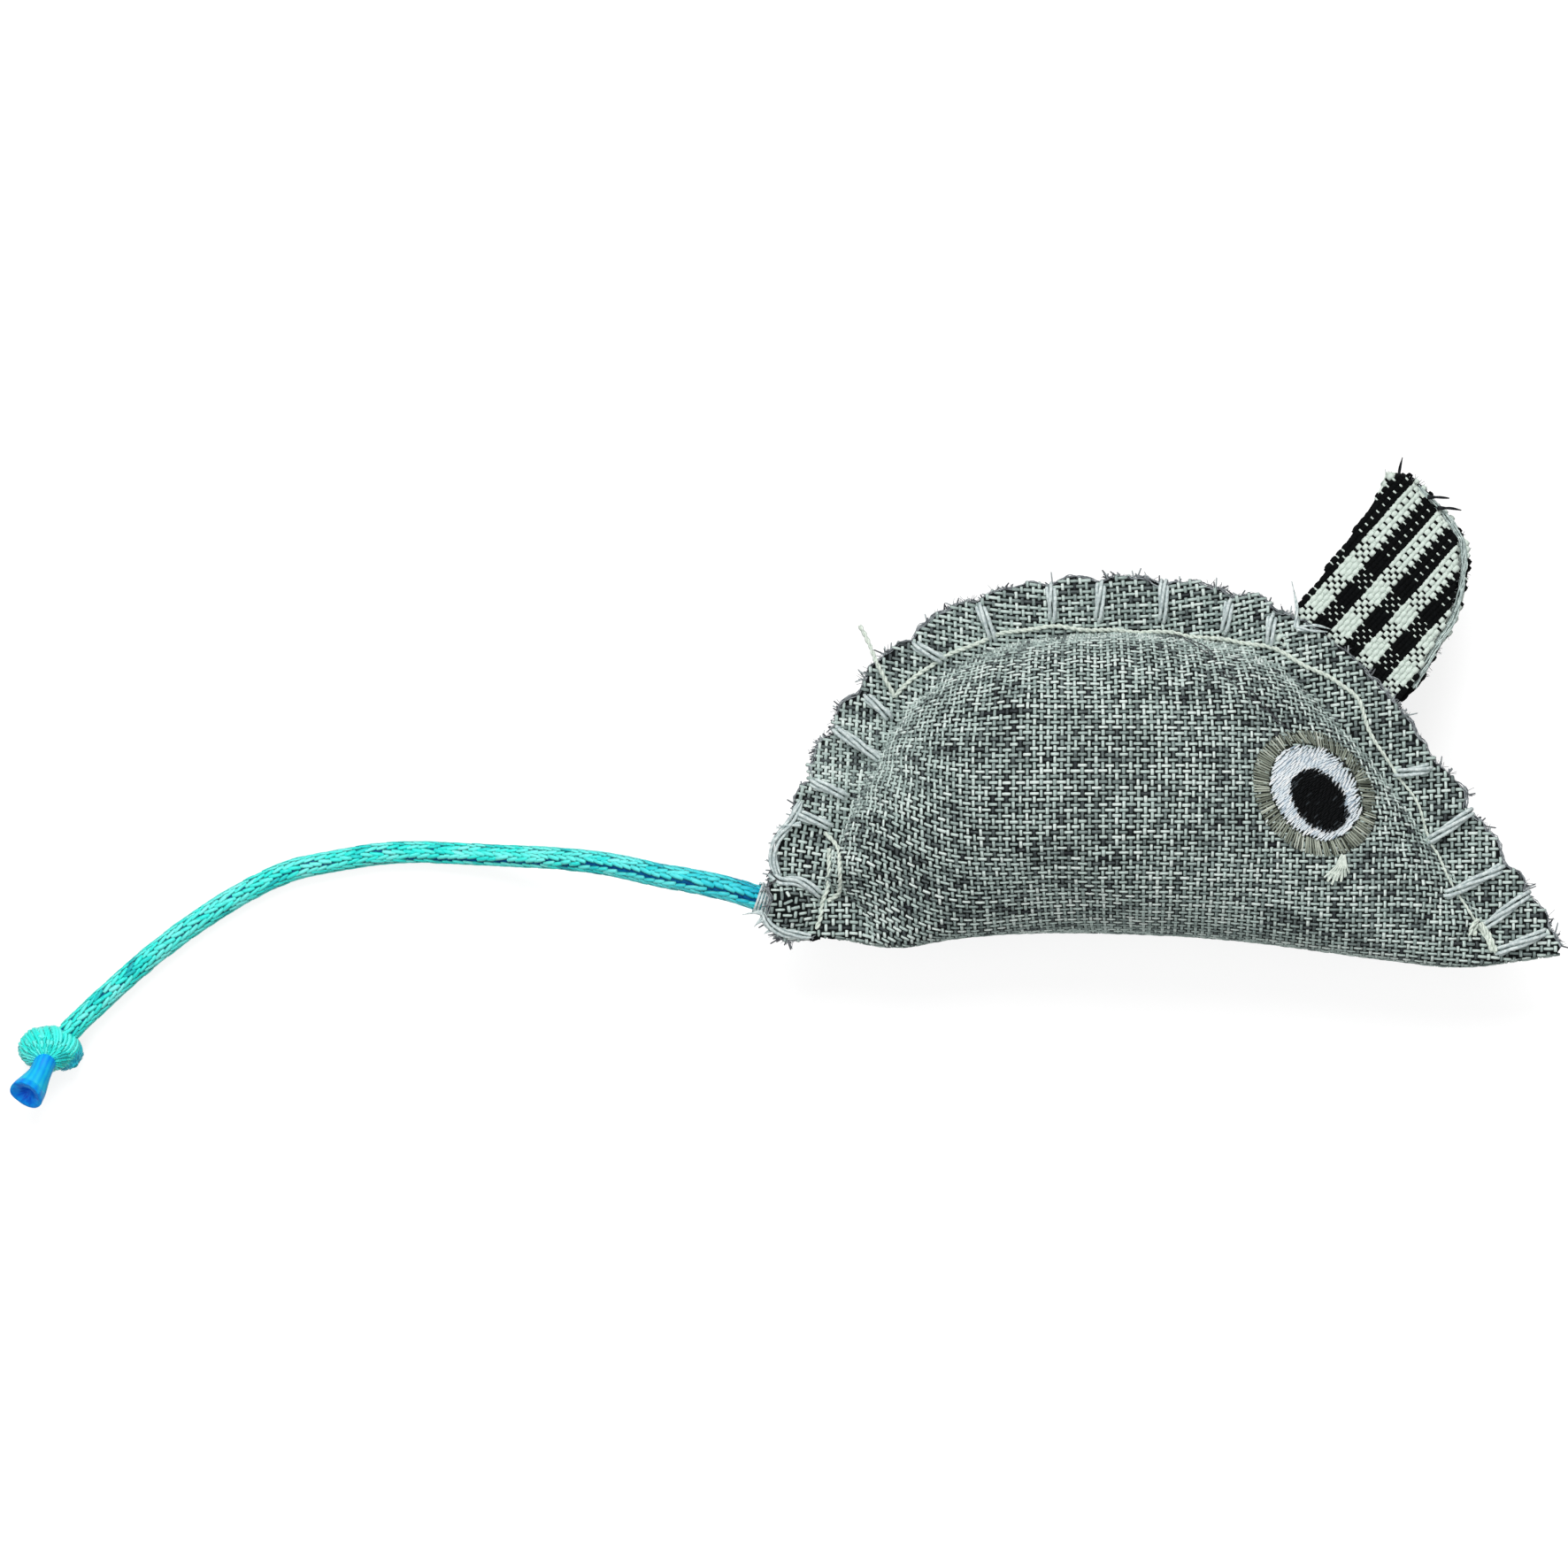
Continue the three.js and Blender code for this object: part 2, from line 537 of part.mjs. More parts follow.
// Tail: its sewn-in root and yarn binding stay with the body, the free cord starts in a round end.
function makeTail() {
  const root = tailMouth.clone().setZ(seamHeight);
  const tailHinge = root.clone().addScaledVector(tailOut, ROOT_OUTSIDE + CLEARANCE + TAIL / 2);
  const CORD_SIDES = 8;
  const TURN_STEPS = 24;
  const rootLine = new THREE.LineCurve3(
    root.clone().addScaledVector(tailOut, -ROOT_INSIDE),
    root.clone().addScaledVector(tailOut, ROOT_OUTSIDE),
  );
  addPiece("tail_root", tube(rootLine, TAIL, CORD_SIDES, 1), COLORS.satin, 0.4);

  const bindingRadius = TAIL / 2 + CLEARANCE + BINDING_YARN / 2;
  const pitch = BINDING_YARN + BINDING_GAP;
  const clear = (ROOT_OUTSIDE - pitch * BINDING_TURNS) / 2;
  const aside = new THREE.Vector3(-tailOut.y, tailOut.x, 0);
  const binding = [];
  const bindingSteps = TURN_STEPS * BINDING_TURNS;
  for (let i = 0; i <= bindingSteps; i++) {
    const turn = (2 * Math.PI * i) / TURN_STEPS;
    const point = root.clone().addScaledVector(tailOut, clear + (pitch * i) / TURN_STEPS);
    point.addScaledVector(aside, bindingRadius * Math.cos(turn));
    binding.push(point.setZ(point.z + bindingRadius * Math.sin(turn)));
  }
  const bindingCurve = smooth(binding);
  addPiece("tail_binding", tube(bindingCurve, BINDING_YARN, YARN_SIDES, bindingSteps), COLORS.yarn, 0.85);
  const gap = leastSelfGap(bindingCurve, BINDING_YARN, bindingSteps * 2, Math.PI * bindingRadius);
  console.log("tail_binding least gap to itself " + gap.toFixed(2) + " mm");

  const lying = TAIL / 2;
  const route = smooth(TAIL_ROUTE.map(([x, y, high]) =>
    new THREE.Vector3(tailHinge.x + x, tailHinge.y + y, lying + high * (seamHeight - lying))));
  const roundEnd = new THREE.SphereGeometry(TAIL / 2, CORD_SIDES, CORD_SIDES - 2);
  roundEnd.translate(...tailHinge);
  const CORD_STEPS = 20;
  const cord = solidOf(tube(route, TAIL, CORD_SIDES, CORD_STEPS)).add(solidOf(roundEnd));
  addPiece("tail_cord", geometryOf(cord), COLORS.satin, 0.4);
  console.log("tail cord length " + route.getLength().toFixed(1) + " mm");

  const knot = new THREE.Group();
  const knotHeight = Math.max(route.getPointAt(1).z, KNOT_RADIUS);
  knot.position.set(tailHinge.x + KNOT_PLACE[0], tailHinge.y + KNOT_PLACE[1], knotHeight);
  knot.rotation.z = KNOT_ANGLE - Math.PI / 2;
  toy.add(knot);
  const ROUND_SIDES = 14;
  // Two wraps of the knot, as shares of its radius and of its length.
  const KNOT_PROFILE = [
    [0, -0.5], [0.5, -0.5], [0.88, -0.36], [1, -0.2], [0.86, 0], [1, 0.2], [0.88, 0.36], [0.5, 0.5], [0, 0.5],
  ];
  const wraps = KNOT_PROFILE.map(([out, along]) => new THREE.Vector2(out * KNOT_RADIUS, along * KNOT_LENGTH));
  addPiece("tail_knot", new THREE.LatheGeometry(wraps, ROUND_SIDES), COLORS.satin, 0.4, knot);

  const tip = new THREE.Group();
  const leave = new THREE.Vector3(Math.cos(TIP_ANGLE), Math.sin(TIP_ANGLE), 0);
  tip.position.copy(knot.position).addScaledVector(leave, KNOT_RADIUS + 2 * CLEARANCE);
  tip.rotation.z = TIP_ANGLE - Math.PI / 2;
  toy.add(tip);
  const MELT_DEPTH = 0.6;
  // The cut end, as shares of the cord's diameter and of the length.
  const STUB_PROFILE = [[0, 0], [0.48, 0], [0.46, 0.4], [0.5, 0.85], [0.46, 1], [0.3, 1]];
  const stub = STUB_PROFILE.map(([out, along]) => new THREE.Vector2(out * TAIL, along * TIP_LENGTH));
  stub.push(new THREE.Vector2(0, TIP_LENGTH - MELT_DEPTH));
  addPiece("tail_tip", new THREE.LatheGeometry(stub, ROUND_SIDES), COLORS.melted, 0.35, tip);
  console.log("tail hinge " + listed(tailHinge.toArray(), 3));
}

makeCover();
makeFillings();
makeThreads();
makeEdgeYarn();
makeEyes();
makeEars();
makeTail();

export default toy;
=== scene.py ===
import math
import bpy
import numpy as np
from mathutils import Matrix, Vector
from mathutils.bvhtree import BVHTree


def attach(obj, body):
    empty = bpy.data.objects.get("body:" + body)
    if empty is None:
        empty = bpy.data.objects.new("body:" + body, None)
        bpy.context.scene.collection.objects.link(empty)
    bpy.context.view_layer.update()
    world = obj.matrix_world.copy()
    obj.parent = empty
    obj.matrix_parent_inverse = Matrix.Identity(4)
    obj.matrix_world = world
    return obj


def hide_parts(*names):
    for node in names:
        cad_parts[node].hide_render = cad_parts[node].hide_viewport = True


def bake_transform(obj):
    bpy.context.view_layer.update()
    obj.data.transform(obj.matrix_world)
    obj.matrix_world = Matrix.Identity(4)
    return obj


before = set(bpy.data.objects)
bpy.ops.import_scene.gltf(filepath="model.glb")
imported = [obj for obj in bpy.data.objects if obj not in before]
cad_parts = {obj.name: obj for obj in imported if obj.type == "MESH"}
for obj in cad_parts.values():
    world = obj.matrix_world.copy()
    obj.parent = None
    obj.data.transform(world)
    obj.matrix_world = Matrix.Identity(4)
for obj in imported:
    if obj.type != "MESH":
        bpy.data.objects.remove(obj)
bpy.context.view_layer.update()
scene = bpy.context.scene
scene.view_settings.view_transform = "Standard"
mm = 0.001  # the lists below are in millimetres

# camera straight above, as in the photograph
camera = dict(centre=(-30.5, -0.1, 11.5), distance=1700, frameWidth=157, sensor=36)
lens = bpy.data.cameras.new("camera")
lens.sensor_width = camera["sensor"]
lens.lens = camera["sensor"] * camera["distance"] / camera["frameWidth"]
lens.clip_end = 20
viewer = bpy.data.objects.new("camera", lens)
viewer.location = Vector(camera["centre"]) * mm + Vector((0, 0, camera["distance"] * mm))
scene.collection.objects.link(viewer)
scene.camera = viewer
print("stage: camera")


# node trees: a Wire is one output of a node, and sums with it put more nodes into its tree
class Wire:
    def __init__(self, tree, socket):
        self.tree = tree
        self.socket = socket
        self.isVector = socket.type in ("VECTOR", "RGBA")

    def __getitem__(self, name):
        return Wire(self.tree, self.socket.node.outputs[name])

    def do(self, operation, *others):
        return calc(self.tree, operation, self, *others)

    def __add__(self, other):
        return self.do("ADD", other)

    def __sub__(self, other):
        return self.do("SUBTRACT", other)

    def __rsub__(self, other):
        return calc(self.tree, "SUBTRACT", other, self)

    def __mul__(self, other):
        if self.isVector and not vectorLike(other):
            return put(self.tree, "ShaderNodeVectorMath", {0: self, "Scale": other}, operation="SCALE")
        return self.do("MULTIPLY", other)

    def __truediv__(self, other):
        return self.do("DIVIDE", other)

    def __mod__(self, other):
        return self.do("MODULO", other)


def vectorLike(value):
    return value.isVector if isinstance(value, Wire) else isinstance(value, tuple)


def calc(tree, operation, *values):
    kind = "ShaderNodeVectorMath" if any(vectorLike(v) for v in values) else "ShaderNodeMath"
    return put(tree, kind, dict(enumerate(values)), operation=operation)


def put(tree, kind, ins=None, **settings):
    node = tree.nodes.new(kind)
    for name, value in settings.items():
        setattr(node, name, value)
    for name, value in (ins or {}).items():
        if isinstance(name, int):
            socket = node.inputs[name]
        else:
            socket = next(s for s in node.inputs if s.name == name and s.enabled)
        if isinstance(value, Wire):
            tree.links.new(value.socket, socket)
        else:
            socket.default_value = value
    return Wire(tree, next(s for s in node.outputs if s.enabled))


def vectorOf(tree, x, y, z):
    return put(tree, "ShaderNodeCombineXYZ", {0: x, 1: y, 2: z})


def mapRange(value, low, high, toLow, toHigh):
    return put(value.tree, "ShaderNodeMapRange", dict(enumerate((value, low, high, toLow, toHigh))))


def blur(place, scale=1.0, detail=2, roughness=0.5):
    ins = {"Vector": place, "Scale": scale, "Detail": detail, "Roughness": roughness}
    return put(place.tree, "ShaderNodeTexNoise", ins)


def newTree(name, **sockets):
    tree = bpy.data.node_groups.new(name, "GeometryNodeTree")
    tree.interface.new_socket("Geometry", in_out="INPUT", socket_type="NodeSocketGeometry")
    for kind, labels in sockets.items():
        for label in labels.split(", "):
            tree.interface.new_socket(label, in_out="INPUT", socket_type="NodeSocket" + kind)
    tree.interface.new_socket("Geometry", in_out="OUTPUT", socket_type="NodeSocketGeometry")
    start = tree.nodes.new("NodeGroupInput")
    return tree, Wire(tree, start.outputs[0]), tree.nodes.new("NodeGroupOutput")


def dress(geometry, material):
    whole = put(geometry.tree, "GeometryNodeRealizeInstances", {"Geometry": geometry})
    return put(geometry.tree, "GeometryNodeSetMaterial", {"Geometry": whole, "Material": material})


def joined(tree, *parts):
    whole = put(tree, "GeometryNodeJoinGeometry")
    for part in parts:
        tree.links.new(part.socket, whole.socket.node.inputs[0])
    return whole


def addPiece(name, mesh):
    piece = bpy.data.objects.new(name, mesh)
    scene.collection.objects.link(piece)
    return piece


# the mesh of a piece with its modifiers applied
def settled(piece):
    graph = bpy.context.evaluated_depsgraph_get()
    made = piece.evaluated_get(graph)
    mesh = bpy.data.meshes.new_from_object(made, preserve_all_data_layers=True, depsgraph=graph)
    piece.modifiers.clear()
    return mesh


# runs a tree on a helper mesh and keeps its result as a plain mesh
def grow(name, shape, tree, **values):
    helper = addPiece(name + "Shape", shape)
    modifier = helper.modifiers.new(tree.name, "NODES")
    modifier.node_group = tree
    for item in tree.interface.items_tree:
        label = item.name.replace(" ", "")
        if item.in_out == "INPUT" and label in values:
            modifier[item.identifier] = values[label]
    mesh = settled(helper)
    bpy.data.objects.remove(helper)
    mesh.name = name
    return addPiece(name, mesh)


# tells the frame what a piece rides on, and hides the nodes it stands for; its material slot is not used
def fix(piece, slot, *nodes, on="body"):
    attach(piece, on)
    if nodes:
        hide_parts(*nodes)


def inMetres(sizes):
    return [float(s) * mm for s in sizes]


def meshOf(name, points, faces):
    mesh = bpy.data.meshes.new(name)
    mesh.from_pydata([inMetres(p) for p in points], [], [tuple(map(int, f)) for f in faces])
    mesh.polygons.foreach_set("use_smooth", [True] * len(mesh.polygons))
    return mesh


def carry(mesh, **layers):
    for label, values in layers.items():
        mesh.attributes.new(label, "FLOAT", "POINT").data.foreach_set("value", values)
    return mesh


def pointsAndNormals(mesh):
    points = np.zeros(len(mesh.vertices) * 3, np.float32)
    normals = np.zeros_like(points)
    mesh.vertices.foreach_get("co", points)
    mesh.vertex_normals.foreach_get("vector", normals)
    return points, normals


# four-sided faces of a grid of points, and of rings of points
def gridFaces(rows, columns):
    return [(i * columns + j, (i + 1) * columns + j, (i + 1) * columns + j + 1, i * columns + j + 1)
            for i in range(rows - 1) for j in range(columns - 1)]


def ringFaces(rings, spokes):
    faces = []
    for k in range(rings - 1):
        for a in range(spokes):
            low, high, b = k * spokes, (k + 1) * spokes, (a + 1) % spokes
            faces.append((low + a, high + a, high + b, low + b))
    return faces


def turnedOver(faces):
    return [f[:1] + f[:0:-1] for f in faces]


# open lines as a helper mesh; thin scales the thickness along them
def linesOf(name, lines, thins=None):
    points, edges, widths = [], [], []
    for k, line in enumerate(lines):
        first = len(points)
        points += [inMetres(p) for p in line]
        edges += [(first + i, first + i + 1) for i in range(len(line) - 1)]
        widths += [float(w) for w in thins[k]] if thins else [1.0] * len(line)
    mesh = bpy.data.meshes.new(name)
    mesh.from_pydata(points, edges, [])
    return carry(mesh, thin=widths)


# a smooth line through points, evenly spaced
def smoothLine(points, count):
    p = np.array(points, float)
    p = np.vstack([2 * p[0] - p[1], p, 2 * p[-1] - p[-2]])
    line = []
    for a, b, c, d in zip(p, p[1:], p[2:], p[3:]):
        tb = max(np.linalg.norm(b - a), 1e-6) ** 0.5
        tc = tb + max(np.linalg.norm(c - b), 1e-6) ** 0.5
        td = tc + max(np.linalg.norm(d - c), 1e-6) ** 0.5
        for t in np.linspace(tb, tc, 24, endpoint=False):
            ab = a + (b - a) * t / tb
            bc = b + (c - b) * (t - tb) / (tc - tb)
            cd = c + (d - c) * (t - tc) / (td - tc)
            abc = ab + (bc - ab) * t / tc
            bcd = bc + (cd - bc) * (t - tb) / (td - tb)
            line.append(abc + (bcd - abc) * (t - tb) / (tc - tb))
    return evenLine(np.array(line + [p[-2]]), count)


def evenLine(line, count):
    run = runOf(line)
    steps = np.linspace(0, run[-1], count)
    return np.stack([np.interp(steps, run, line[:, k]) for k in range(line.shape[1])], 1)


def runOf(line):
    return np.concatenate([[0], np.cumsum(np.linalg.norm(np.diff(line, axis=0), axis=1))])


# distance of each point from a line, and the run along it of the nearest place
def fromLine(points, line):
    a, d = line[:-1], np.diff(line, axis=0)
    run, size = runOf(line), np.maximum((d ** 2).sum(1), 1e-12)
    best, where = np.full(len(points), 1e9), np.zeros(len(points))
    for k in range(len(a)):
        t = np.clip(((points - a[k]) @ d[k]) / size[k], 0, 1)
        gap = np.linalg.norm(points - a[k] - t[:, None] * d[k], axis=1)
        near = gap < best
        best[near], where[near] = gap[near], run[k] + t[near] * math.sqrt(size[k])
    return best, where


def smoothStep(x, low, high):
    t = np.clip((x - low) / (high - low), 0, 1)
    return t * t * (3 - 2 * t)


def unit(vector):
    return np.array(vector) / np.linalg.norm(vector)


def screen(r, g, b):  # a colour as it looks on screen, 0 to 255
    return tuple(((c / 255 + 0.055) / 1.055) ** 2.4 if c > 10 else c / 3294.6 for c in (r, g, b)) + (1,)


# materials; threads carry tone, along and across, so the pattern follows each thread
def startMaterial(name, roughness, **sockets):
    material = bpy.data.materials.new(name)
    material.use_nodes = True
    shader = material.node_tree.nodes["Principled BSDF"]
    shader.inputs["Roughness"].default_value = roughness
    shader.inputs["Specular IOR Level"].default_value = 0.08  # cloth fibres hardly shine
    for label, value in sockets.items():
        shader.inputs[label.replace("_", " ")].default_value = value
    return material, material.node_tree, shader


def finishMaterial(tree, shader, colour, height, strength, depth):
    bump = put(tree, "ShaderNodeBump", {"Height": height, "Strength": strength, "Distance": depth})
    tree.links.new(bump.socket, shader.inputs["Normal"])
    tree.links.new(colour.socket, shader.inputs["Base Color"])


def ramp(fac, stops):
    colour = put(fac.tree, "ShaderNodeValToRGB", {"Fac": fac})
    elements = colour.socket.node.color_ramp.elements
    while len(elements) < len(stops):
        elements.new(0.5)
    for element, (place, *shade) in zip(elements, stops):
        element.position = place
        element.color = screen(*shade)
    return colour


def carried(tree, *labels):
    return [put(tree, "ShaderNodeAttribute", attribute_name=label)["Fac"] for label in labels]


def objectPlace(tree):
    return put(tree, "ShaderNodeTexCoord")["Object"]


def shaded(colour, shade):
    ins = {"Factor": 1.0, "A": colour, "B": shade}
    return put(colour.tree, "ShaderNodeMix", ins, data_type="RGBA", blend_type="MULTIPLY")


# painted shade: less light reaches the sides and ends of a thread that lies among others, so their colour is
# darkened
def rimShade(across, along, rim):
    sides = mapRange(across.do("ABSOLUTE"), 0.5, 0.95, 1.0, rim)
    ends = mapRange(along.do("ABSOLUTE"), 0.8, 1.0, 1.0, rim)
    return sides * ends


def threadMaterial(name, stops, roughness, grooveShade, fibres, rim=0.6):
    material, tree, shader = startMaterial(name, roughness)
    tone, across, along = carried(tree, "tone", "across", "along")
    fibre = blur(vectorOf(tree, along * 0.8, across * 3.2, tone * 61), 1.6, 3)
    colour = ramp(tone + (fibre - 0.5) * fibres, stops)
    # painted shade: the groove between the plies and the sides and ends of the thread are darkened in its
    # colour
    paintedShade = mapRange(across.do("ABSOLUTE"), 0.02, 0.3, grooveShade, 1.0) * rimShade(across, along, rim)
    finishMaterial(tree, shader, shaded(colour, paintedShade), fibre, 0.35, 0.00008)
    return material


def plainMaterial(name, dark, pale, scale, roughness):
    material, tree, shader = startMaterial(name, roughness)
    grain = blur(objectPlace(tree), scale, 5, 0.6)
    colour = ramp(grain, [(0.32, *dark), (0.68, *pale)])
    finishMaterial(tree, shader, colour, grain, 0.4, 0.00012)
    return material


def checkGroundMaterial(across, band, first):
    material, tree, shader = startMaterial("ginghamGround", 0.95)
    place = objectPlace(tree)
    count = ((place.do("DOT_PRODUCT", across) - first) / band).do("FLOOR")
    grain = blur(place, 2400.0, 4)
    mixed = count.do("FLOORED_MODULO", 2.0) + (grain - 0.5) * 0.3
    colour = ramp(mixed, [(0.0, 4, 5, 6), (0.4, 14, 16, 17), (0.6, 190, 202, 194), (1.0, 226, 238, 228)])
    finishMaterial(tree, shader, colour, grain, 0.4, 0.0001)
    return material


def satinMaterial(name, rim):
    material, tree, shader = startMaterial(name, 0.36, Specular_IOR_Level=0.25)
    tone, root, across, along = carried(tree, "tone", "root", "across", "along")
    fibre = blur(vectorOf(tree, along, across * 6, tone * 47), 1.5, 3)
    mixed = tone + (fibre - 0.5) * 0.5
    # the blue mix comes in by root: bluer towards the tail's root, and on the knot's lobe, where the blue is
    # painted shade
    fresh = ramp(mixed, [(0.0, 6, 172, 182), (0.35, 44, 246, 232), (1.0, 140, 255, 248)])
    blue = ramp(mixed, [(0.0, 0, 84, 168), (0.4, 8, 172, 214), (1.0, 60, 240, 244)])
    colour = put(tree, "ShaderNodeMix", {"Factor": root, "A": fresh, "B": blue}, data_type="RGBA")
    # painted shade: the sides and ends of each stitch are darkened in its colour
    finishMaterial(tree, shader, shaded(colour, rimShade(across, along, rim)), fibre, 0.3, 0.00006)
    return material


def meltMaterial():
    material, tree, shader = startMaterial("meltedEnd", 0.4, Specular_IOR_Level=0.12)
    tone, ribs = carried(tree, "tone", "ribs")
    grain = blur(objectPlace(tree), 1100.0, 3)
    mixed = tone + (ribs * 26.0).do("SINE") * 0.1 + (grain - 0.5) * 0.4
    colour = ramp(mixed, [(0.0, 0, 70, 200), (0.35, 0, 142, 242), (0.7, 22, 190, 242), (1.0, 56, 216, 236)])
    finishMaterial(tree, shader, colour, mixed, 0.4, 0.00015)
    return material


clothThread = threadMaterial("melangeThread", [
    (0.0, 53, 56, 60), (0.2, 106, 116, 116), (0.42, 162, 179, 175), (0.68, 210, 228, 222),
    (1.0, 243, 255, 250)], roughness=0.9, grooveShade=0.74, fibres=0.6, rim=0.17)
checkThread = threadMaterial("ginghamThread", [
    (0.0, 5, 6, 7), (0.42, 14, 17, 18), (0.58, 190, 205, 196), (1.0, 220, 233, 224)],
    roughness=0.85, grooveShade=0.97, fibres=0.2, rim=0.92)
frayFibre = threadMaterial("frayFibre", [
    (0.0, 78, 78, 84), (0.5, 132, 137, 141), (1.0, 192, 201, 202)],
    roughness=0.85, grooveShade=1.0, fibres=0.3, rim=0.8)
# painted highlight: the palest stop turns the few palest pupil threads grey, as specks of highlight
pupilThread = threadMaterial("pupilThread", [
    (0.0, 1, 2, 3), (0.86, 7, 9, 11), (1.0, 60, 66, 70)], roughness=0.5, grooveShade=0.8, fibres=0.3)
whiteSatin = threadMaterial("whiteSatin", [
    (0.0, 160, 178, 194), (0.3, 224, 236, 243), (1.0, 254, 255, 255)],
    roughness=0.5, grooveShade=0.95, fibres=0.4, rim=0.72)
taupeSatin = threadMaterial("taupeSatin", [
    (0.0, 18, 20, 15), (0.35, 64, 69, 60), (0.7, 164, 172, 157), (1.0, 232, 238, 224)],
    roughness=0.5, grooveShade=0.85, fibres=0.4, rim=0.12)
# painted shade: the ground under the weave is near black, to stand for the shade between the threads
clothShadeGround = plainMaterial("clothShadeGround", (4, 6, 7), (24, 28, 29), 900, 0.95)
clothEdge = plainMaterial("clothEdge", (84, 88, 94), (180, 188, 191), 2200, 0.95)
edgeYarn = plainMaterial("edgeYarn", (166, 182, 184), (236, 245, 243), 2600, 0.8)
darkThread = plainMaterial("darkThread", (44, 42, 46), (104, 106, 110), 2600, 0.85)
whiteThread = plainMaterial("whiteThread", (196, 208, 198), (238, 246, 236), 2600, 0.75)
paleFibre = plainMaterial("paleFibre", (150, 168, 166), (226, 240, 236), 2600, 0.8)
blackFibre = plainMaterial("blackFibre", (8, 9, 11), (44, 46, 50), 2600, 0.8)
# painted shade: the cord's core is dark blue, to stand for the shade in the gaps and the slit between its
# stitches
satinShadeCore = plainMaterial("satinShadeCore", (0, 44, 112), (2, 108, 158), 1500, 0.5)
waddingFibre = plainMaterial("waddingFibre", (214, 214, 208), (244, 244, 240), 500, 0.95)
catnipLeaf = plainMaterial("driedCatnip", (78, 84, 44), (138, 140, 84), 1200, 0.95)
satinKnit = satinMaterial("satinKnit", 0.32)
satinKnot = satinMaterial("satinKnot", 0.93)
meltedEnd = meltMaterial()
print("stage: materials")


# one short thread, round and closed, one unit long, wide and high
def makeThreadShape():
    rings, sides = [(-0.43, 0.84), (0.0, 1.0), (0.43, 0.84)], 5
    points, across, along, faces = [(-0.5, 0, -0.1)], [0], [-1], []
    for x, size in rings:
        for k in range(sides):
            turn = math.radians(90 + 360 * k / sides)
            points.append((x, 0.5 * size * math.cos(turn), 0.5 * size * math.sin(turn)))
            across.append(math.cos(turn))
            along.append(2 * x)
    points.append((0.5, 0, -0.1))
    across.append(0)
    along.append(1)
    last = len(points) - 1
    for k in range(sides):
        n = (k + 1) % sides
        faces.append((0, 1 + k, 1 + n))
        for r in range(len(rings) - 1):
            a = 1 + r * sides
            faces.append((a + k, a + sides + k, a + sides + n, a + n))
        b = 1 + (len(rings) - 1) * sides
        faces.append((b + k, last, b + n))
    mesh = meshOf("threadShape", np.array(points) / mm, faces)
    return addPiece("threadShape", carry(mesh, across=across, along=along))


threadShape = makeThreadShape()
threadShape.hide_render = True


def shapeOf(thing):
    return put(thing.tree, "GeometryNodeObjectInfo", {"Object": thing})["Geometry"]


def keep(geometry, name, kind, value):
    ins = {"Geometry": geometry, "Name": name, "Value": value}
    return put(geometry.tree, "GeometryNodeStoreNamedAttribute", ins, data_type=kind, domain="POINT")


def read(tree, name, kind="FLOAT"):
    return put(tree, "GeometryNodeInputNamedAttribute", {"Name": name}, data_type=kind)["Attribute"]


def chance(tree, low, high, seed, kind="FLOAT"):
    return put(tree, "FunctionNodeRandomValue", {"Min": low, "Max": high, "Seed": seed}, data_type=kind)


def moveTo(points, place):
    return put(points.tree, "GeometryNodeSetPosition", {"Geometry": points, "Position": place})


def clamped(value):
    return put(value.tree, "ShaderNodeClamp", {0: value})


# a thread on each point; the first way is kept, the second as near as it can be
def threadsOn(points, shape, ways, axes, size, chosen=True):
    turn = put(points.tree, "FunctionNodeAxesToRotation", dict(enumerate(ways)),
               primary_axis=axes[0], secondary_axis=axes[1])
    ins = {"Points": points, "Selection": chosen, "Instance": shapeOf(shape), "Rotation": turn, "Scale": size}
    return put(points.tree, "GeometryNodeInstanceOnPoints", ins)


def curveOf(start, spacing):
    curve = put(start.tree, "GeometryNodeMeshToCurve", {"Mesh": start["Geometry"]})
    return put(start.tree, "GeometryNodeResampleCurve", {"Curve": curve, "Length": spacing}, mode="LENGTH")


def tubeOn(curve, radius, sides, thin):
    tree = curve.tree
    ring = put(tree, "GeometryNodeCurvePrimitiveCircle", {"Resolution": sides, "Radius": radius})["Curve"]
    tube = put(tree, "GeometryNodeCurveToMesh",
               {"Curve": curve, "Profile Curve": ring, "Scale": thin, "Fill Caps": True})
    return put(tree, "GeometryNodeSetShadeSmooth", {"Geometry": tube})


def cellOf(tree, columns):
    index = put(tree, "GeometryNodeInputIndex")
    row = ((index + 0.5) / columns).do("FLOOR")
    return row, index - row * columns


def finishTree(geometry, end):
    geometry.tree.links.new(geometry.socket, end.inputs[0])
    return geometry.tree


